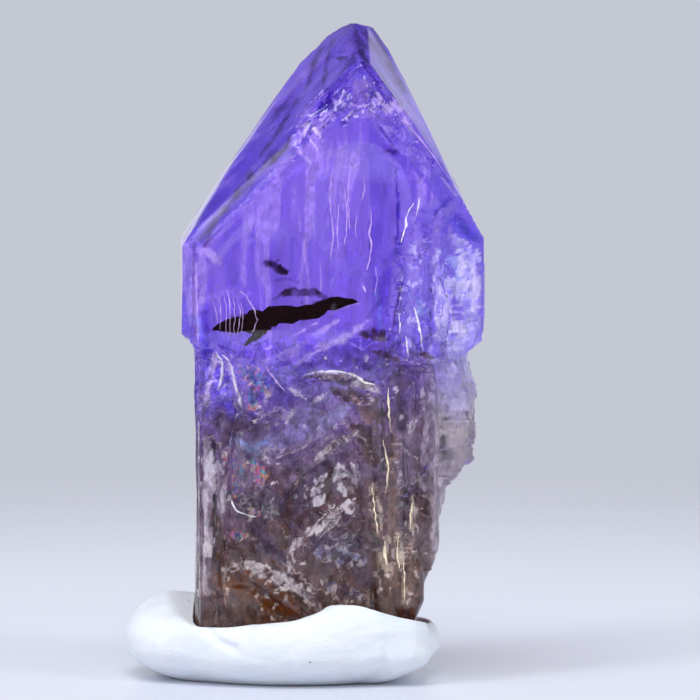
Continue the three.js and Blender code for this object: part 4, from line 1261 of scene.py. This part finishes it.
# Each strand: its points as picture pixels across and down, and half width in pixels
STRANDS = {
    "dark": [
        [(211, 330, 0.5), (222, 327, 5), (235, 325.5, 8.5), (247, 323.5, 10.5), (258, 321, 11),
         (268, 318, 10),
         (282, 314.5, 9.5), (295, 314, 7), (313, 311, 7), (325, 306.5, 7.5), (338, 303.5, 5.5),
         (352, 301.5, 2.5),
         (357, 302, 0.4)],
        [(266, 324, 6), (257, 334, 4), (250, 341, 2.5), (244, 346, 0.4)],
    ],
    "rose": [
        [(332, 172, 0.3), (330, 200, 0.45), (333, 232, 0.5), (331, 258, 0.3)],
        [(339, 205, 0.3), (337, 228, 0.45), (338, 249, 0.3)],
        [(345, 190, 0.3), (347, 220, 0.5), (345, 245, 0.3)],
        [(350, 168, 0.3), (348, 200, 0.4), (350, 228, 0.3)],
        [(357, 214, 0.3), (355, 226, 0.35), (356, 238, 0.3)],
        [(370, 210, 0.4), (371, 222, 0.6), (369, 232, 1.1), (371, 242, 0.7), (370, 258, 0.6),
         (367, 270, 0.3)],
        [(363, 178, 0.3), (364, 190, 0.5), (362, 200, 0.3)],
        [(320, 262, 0.3), (321, 278, 0.35), (320, 292, 0.3)],
        [(305, 238, 0.3), (304, 250, 0.35), (305, 264, 0.3)],
        [(363, 284, 0.5), (365, 289, 0.8), (366, 292, 0.4)],
        [(376, 268, 0.3), (377, 280, 0.4), (375, 292, 0.3)],
        [(213, 300, 0.15), (216, 312, 0.3), (217, 324, 0.15)],
        [(219, 296, 0.15), (221, 311, 0.36), (220, 330, 0.15)],
        [(223, 293, 0.15), (226, 305, 0.36), (226, 333, 0.15)],
        [(227, 291, 0.15), (230, 304, 0.48), (230, 336, 0.18)],
        [(233, 297, 0.15), (235, 312, 0.36), (234, 336, 0.15)],
        [(237, 297, 0.15), (240, 312, 0.42), (238, 336, 0.15)],
        [(241, 302, 0.15), (243, 315, 0.3), (241, 334, 0.15)],
        [(240, 291, 0.3), (248, 298, 0.54), (254, 309, 0.6), (257, 320, 0.24)],
        [(258, 318, 0.18), (255, 327, 0.36), (251, 334, 0.15)],
        [(196, 262, 0.3), (197, 300, 0.5), (198, 340, 0.3), (199, 352, 0.25)],
        [(266, 367, 0.5), (275, 380, 1.0), (285, 392, 0.4)],
        [(392, 96, 0.25), (408, 124, 0.4), (430, 152, 0.4), (450, 180, 0.25)],
        [(404, 118, 0.25), (420, 138, 0.5), (438, 162, 0.25)],
    ],
    "silver": [
        [(413, 203, 0.3), (408, 214, 0.7), (405, 226, 1.0), (401, 243, 0.3)],
        [(419, 198, 0.3), (418, 206, 0.9), (416, 216, 0.3)],
        [(415, 308, 0.4), (418, 322, 0.8), (421, 336, 1.0), (423, 353, 0.5)],
        [(399, 314, 0.3), (400, 324, 0.8), (399, 334, 0.3)],
        [(406, 336, 0.3), (407, 346, 0.8), (408, 356, 0.3)],
        [(216, 352, 0.3), (222, 362, 0.8), (222, 375, 0.9), (219, 388, 0.3)],
        [(222, 355, 0.3), (231, 365, 0.9), (234, 380, 0.7), (240, 398, 0.8), (241, 410, 0.7),
         (234, 417, 0.3)],
        [(302, 376, 0.3), (322, 372, 0.8), (340, 372, 0.8), (356, 376, 1.2), (364, 383, 0.8),
         (376, 384, 0.3)],
        [(226, 486, 0.3), (231, 498, 0.7), (234, 507, 0.7), (241, 513, 0.7), (256, 517, 0.25)],
    ],
    "gold": [
        [(372, 487, 0.4), (374, 504, 1.0), (376, 520, 0.8), (378, 533, 0.3)],
        [(385, 542, 0.4), (385, 554, 1.6), (387, 566, 0.4)],
        [(399, 536, 0.3), (397, 552, 0.8), (399, 568, 0.3)],
        [(413, 498, 0.4), (411, 514, 1.0), (410, 530, 0.3)],
        [(404, 566, 0.3), (405, 582, 0.8), (404, 600, 0.3)],
        [(383, 440, 0.3), (388, 466, 0.8), (386, 492, 0.3)],
        [(388, 388, 0.3), (389, 410, 0.9), (391, 432, 0.3)],
    ],
}


def through_points(points, steps):
    """A smooth line through control points, each span a cubic whose slope at a point is half the
    way between that point's two neighbours."""
    control = np.array(points, dtype=float)
    control = np.vstack([2 * control[0] - control[1], control, 2 * control[-1] - control[-2]])
    along = np.linspace(0, len(points) - 1, steps)
    span = np.minimum(along.astype(int), len(points) - 2)
    share = (along - span)[:, None]
    before, first, second, after = (control[span + i] for i in range(4))
    return 0.5 * (
        2 * first + (second - before) * share + (2 * before - 5 * first + 4 * second - after) * share**2
        + (3 * first - before - 3 * second + after) * share**3
    )


# The depth of the broken front over X, row by row
front_across = np.linspace(-5.0, 7.7, 300)
front_columns = COLUMNS_ACROSS["front"] + COLUMNS_ACROSS["right"] // 3
front_depth = np.stack([
    np.interp(front_across, np.maximum.accumulate(row[:, 0]), row[:, 1]) for row in hit[:, :front_columns]
])


def front_y(x, z):
    """The depth of the broken front at places in X and Z, mixed from the four nearest ones."""
    across = (x - front_across[0]) / (front_across[1] - front_across[0])
    across = np.clip(across, 0, len(front_across) - 1.001)
    up = np.clip(np.interp(z, height, np.arange(CRYSTAL_ROWS)), 0, CRYSTAL_ROWS - 1.001)
    i, j = up.astype(int), across.astype(int)
    u, v = up - i, across - j
    low = front_depth[i, j] * (1 - v) + front_depth[i, j + 1] * v
    high = front_depth[i + 1, j] * (1 - v) + front_depth[i + 1, j + 1] * v
    return low * (1 - u) + high * u


def strand(points, wander, uneven, seed):
    """A flat strand along a line of picture pixels with a half width: each ring of points goes
    round the line, its cosine across the line and its sine into the depth. Gives the ring's
    places across and down in pixels, and how far each point is deep, from -1 to 1."""
    line = through_points(points, STRAND_STEPS)
    along = np.concatenate([line[:, :2], np.full((len(line), 1), seed * 7.7)], axis=1)
    line[:, 0] += 2 * wander * (noise(along, 5.0, 131) - 0.5)
    line[:, 1] += 2 * wander * (noise(along, 5.0, 132) - 0.5)
    line[:, 2] *= 1 + 2 * uneven * (noise(along, 3.0, 133) - 0.5)
    ahead = np.gradient(line[:, :2], axis=0)
    ahead /= np.maximum(np.linalg.norm(ahead, axis=1, keepdims=True), 1e-9)
    turn = np.linspace(0, 2 * np.pi, STRAND_AROUND, endpoint=False)
    aside = np.cos(turn)[None, :] * np.maximum(line[:, 2], 0.15)[:, None]
    across = line[:, 0, None] - ahead[:, 1, None] * aside
    down = line[:, 1, None] + ahead[:, 0, None] * aside
    return across, down, np.broadcast_to(np.sin(turn), across.shape)


def set_under_front(across, down, deep):
    """Points from picture pixels and a depth under the surface, in millimetres. The depth of the
    front isn't known until the place is, so the place is found again with the last depth."""
    y = np.full(across.shape, FRONT_Y)
    for _ in range(3):
        x, z = picture_place(across, down, y)
        y = front_y(x, z)
    return np.stack([x, y + deep, z], axis=-1)


def strands_piece(name, kinds, material):
    """One piece of all strands of some kinds, each point with its kind's colour."""
    grids, tones = [], []
    for kind in kinds:
        kind_tone, kind_cover, deep, thick, wander, uneven = STRAND_KINDS[kind]
        for seed, points in enumerate(STRANDS[kind]):
            across, down, inward = strand(points, wander, uneven, seed)
            ring = set_under_front(across, down, deep + thick * inward)
            grids.append((ring * MM, ring[[0, -1]].mean(axis=1) * MM))
            tones.append(np.tile([*kind_tone, kind_cover], (across.size + 2, 1)))
    piece = tubes(name, grids)
    put_attribute(piece, "tone", np.vstack(tones))
    put_attribute(piece, "cover", np.vstack(tones)[:, 3])
    piece.data.materials.append(material)
    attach(piece, "root")


strands_piece("dark_reflection_lens", ["dark"], inclusion_material("dark reflection lens", 0.9, 0.0, 0.0, 0.3))
glint_crack_material = inclusion_material("glinting cracks", 0.4, 0.3, 0.1, 0.2)
strands_piece("glinting_cracks", ["rose", "silver", "gold"], glint_crack_material)


# The pad of white mounting putty, pressed by hand round the crystal's foot, which stands in a
# socket in it. A thick round lobe rises at the left and a fold runs along the front. The putty is
# matte, smeared where a thumb went over it, and has picked up a little dust.
PAD_CENTRE = (-0.865, 0.057)
PAD_HALF_LENGTH = 6.5
PAD_HALF_DEPTH = 4.75
PAD_PLAN_POWER = 2.5
PAD_BULGE_Z = 1.35
PAD_UNDERCUT = 0.9
PAD_SOCKET_FLOOR = 1.15
PAD_SOCKET_GAP = 0.03
PAD_SOCKET_TOP = 4.2
PAD_LEAST_WALL = 0.35
PAD_COLOUR = (0.765, 0.80, 0.845, 1)
PAD_SMEAR_COLOUR = (0.73, 0.765, 0.81, 1)
PAD_DUST_COLOUR = (0.30, 0.29, 0.31, 1)
# By direction in degrees: how far the side goes out past the plain plan, how high the putty
# stands round the crystal, and how far it dips there from its crown
PAD_SWELLS = {
    0: 0.25, 40: 0.1, 90: 0.0, 140: 0.1, 172: 0.22, 200: 0.0, 220: -0.75, 240: -0.35, 265: 0.1, 300: 0.2,
    335: 0.1,
}
PAD_RIMS = {
    0: 2.2, 40: 2.6, 90: 2.9, 130: 2.9, 155: 3.45, 175: 3.75, 190: 3.55, 205: 2.95, 222: 2.5, 240: 2.5,
    260: 2.67, 279: 2.78, 292: 3.08, 301: 3.33, 308: 3.47, 315: 3.36, 319: 3.05, 323: 2.84, 329: 2.78,
    337: 2.5,
}
PAD_DIPS = {0: 0.1, 130: 0.12, 160: 0.3, 180: 0.4, 200: 0.3, 222: 0.08, 300: 0.05}
# Presses of a thumb: direction in degrees, height, spread of each, and depth
PAD_PRESSES = [(250, 1.6, 22, 0.9, 0.16), (300, 0.9, 16, 0.8, 0.12), (335, 2.0, 12, 0.9, 0.12),
               (196, 1.0, 16, 0.9, 0.14),
               (120, 1.6, 18, 1.0, 0.2), (30, 1.5, 16, 0.9, 0.16)]
# The crease between the lobe and the fold, in picture pixels, with its half width and depth
PAD_CREASE = [(206, 627), (211, 635), (219, 642), (231, 647)]
PAD_CREASE_WIDTH = 0.2
PAD_CREASE_DEPTH = 0.09
PAD_AROUND = 420
PAD_SIDE_ROWS = 150
PAD_SOCKET_ROWS = 12

turn = np.linspace(0, 2 * np.pi, PAD_AROUND, endpoint=False)
nearby = np.arange(-6, 7)
narrow = np.arange(-2, 3)


def by_direction(values):
    """Values given at some directions, for every direction: straight lines between the given ones,
    then the mean of the nearest directions, which rounds the corners."""
    line = np.interp(np.degrees(turn), list(values), list(values.values()), period=360)
    return np.mean([np.roll(line, step) for step in nearby], axis=0)


plan = (np.abs(np.cos(turn)) / PAD_HALF_LENGTH) ** PAD_PLAN_POWER
plan += (np.abs(np.sin(turn)) / PAD_HALF_DEPTH) ** PAD_PLAN_POWER
bulge_reach = plan ** (-1 / PAD_PLAN_POWER) + by_direction(PAD_SWELLS)

# The crystal's outline round the pad's middle, the widest over the foot's rows
foot_rows = hit[height < PAD_SOCKET_TOP]
foot_offset = foot_rows[..., :2] - np.array(PAD_CENTRE)
foot_turn = np.arctan2(foot_offset[..., 1], foot_offset[..., 0]) % (2 * np.pi)
foot_width = np.linalg.norm(foot_offset, axis=-1)
foot_reach = np.max([
    np.interp(turn, np.sort(row_turn), row_width[np.argsort(row_turn)], period=2 * np.pi)
    for row_turn, row_width in zip(foot_turn, foot_width)
], axis=0)
# the putty bridges narrow nooks between the columns
foot_reach = np.max([np.roll(foot_reach, step) for step in narrow], axis=0)
foot_reach = np.mean([np.roll(foot_reach, step) for step in narrow], axis=0) + PAD_SOCKET_GAP
bulge_reach = np.maximum(bulge_reach, foot_reach + PAD_LEAST_WALL)

# the side turns in below, bulges, and rounds up and in to the crystal, as an angle from below
side_angle = np.linspace(-PAD_UNDERCUT, 0.5 * np.pi, PAD_SIDE_ROWS)[:, None]
above = side_angle > 0
crown = by_direction(PAD_RIMS)
upper_reach = foot_reach + (bulge_reach - foot_reach) * np.cos(side_angle)
side_reach = np.where(above, upper_reach, bulge_reach * np.cos(side_angle) ** 0.8)
lower_rise = PAD_BULGE_Z / np.sin(PAD_UNDERCUT)
side_z = PAD_BULGE_Z + np.where(above, crown - PAD_BULGE_Z, lower_rise) * np.sin(side_angle)
side_z = side_z - by_direction(PAD_DIPS) * smooth(side_angle, 1.1, 0.5 * np.pi)
down_share = np.linspace(0, 1, PAD_SOCKET_ROWS + 1)[1:, None]
wall_reach = np.broadcast_to(foot_reach, (PAD_SOCKET_ROWS, PAD_AROUND))
wall_z = side_z[-1] + down_share * (PAD_SOCKET_FLOOR - side_z[-1])
pad_reach = np.concatenate([side_reach, wall_reach])
pad_z = np.concatenate([side_z, wall_z])
pad = np.stack([pad_reach * np.cos(turn), pad_reach * np.sin(turn), pad_z], axis=-1)
pad[..., :2] += np.array(PAD_CENTRE)

# dents of a thumb, the crease, smears and small lumps, only on the outside
outside_share = 1 - smooth(np.arange(len(pad))[:, None], PAD_SIDE_ROWS - 30, PAD_SIDE_ROWS - 4)
pressed = np.zeros(pad.shape[:2])
for direction, press_height, spread, tall, press_depth in PAD_PRESSES:
    apart = ((np.degrees(turn) - direction + 180) % 360 - 180)[None, :] + 5 * (pad[..., 2] - press_height)
    pressed += press_depth * np.exp(-((apart / spread) ** 2) - ((pad[..., 2] - press_height) / tall) ** 2)
crease_gap = line_gap(front_line(PAD_CREASE), pad[..., 0], pad[..., 2])
pressed += PAD_CREASE_DEPTH * np.exp(-((crease_gap / PAD_CREASE_WIDTH) ** 2)) * (pad[..., 1] < 0)
all_turns = np.broadcast_to(turn, pad.shape[:2])
smear_place = np.stack([all_turns, 0 * all_turns, pad[..., 2] + 0.25 * np.sin(3 * turn)], axis=-1)
pressed += 0.02 * noise(smear_place * [1, 1, 0.6], 0.14, 141)
pressed += 0.03 * noise(smear_place * [3, 1, 1], 0.3, 142)
pressed += 0.14 * (noise(pad, 2.2, 143) - 0.3) + 0.04 * noise(pad, 0.7, 144)
middle = np.array([*PAD_CENTRE, PAD_BULGE_Z])
inward = middle - pad
inward /= np.linalg.norm(inward, axis=-1, keepdims=True)
pad += inward * (np.maximum(pressed, 0) * outside_share * smooth(pad[..., 2], 0.0, 0.5))[..., None]
pad[..., 2] = np.maximum(pad[..., 2], 0)
poles = np.array([[*PAD_CENTRE, 0], [*PAD_CENTRE, PAD_SOCKET_FLOOR]])
putty = tubes("putty", [(pad * MM, poles * MM)])

putty_material, tree, shader = material_of("putty")
place = place_in_mm(tree)
drawn_out = {"Vector": times(tree, place, (0.6, 0.6, 1.3)), "Scale": 1.3, "Detail": 5.0, "Distortion": 0.6}
smears = node(tree, "ShaderNodeTexNoise", drawn_out).outputs["Fac"]
specks = node(tree, "ShaderNodeTexVoronoi", {"Vector": place, "Scale": 1.1}).outputs["Distance"]
speck_here = node(tree, "ShaderNodeTexNoise", {"Vector": place, "Scale": 0.6}).outputs["Fac"]
dust = math_node(tree, "MULTIPLY", between(tree, specks, 0.075, 0.03), between(tree, speck_here, 0.5, 0.6))
colour = mix_colour(tree, between(tree, smears, 0.62, 0.38), PAD_COLOUR, PAD_SMEAR_COLOUR)
roughness = node(tree, "ShaderNodeMapRange", {"Value": smears, "To Min": 0.45, "To Max": 0.75}).outputs[0]
grain = node(tree, "ShaderNodeTexNoise", {"Vector": place, "Scale": 7.0, "Detail": 4.0}).outputs["Fac"]
lumps = math_node(tree, "ADD", smears, grain)
bump = node(tree, "ShaderNodeBump", {"Height": lumps, "Distance": 0.03 * MM, "Strength": 0.8})
fill(tree, shader, {
    "Base Color": mix_colour(tree, dust, colour, PAD_DUST_COLOUR),
    "Roughness": roughness,
    "Normal": bump.outputs[0],
    "Subsurface Weight": 0.15,
    "Subsurface Scale": 0.4 * MM,
})
putty.data.materials.append(putty_material)
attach(putty, "root")
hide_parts("putty_base")
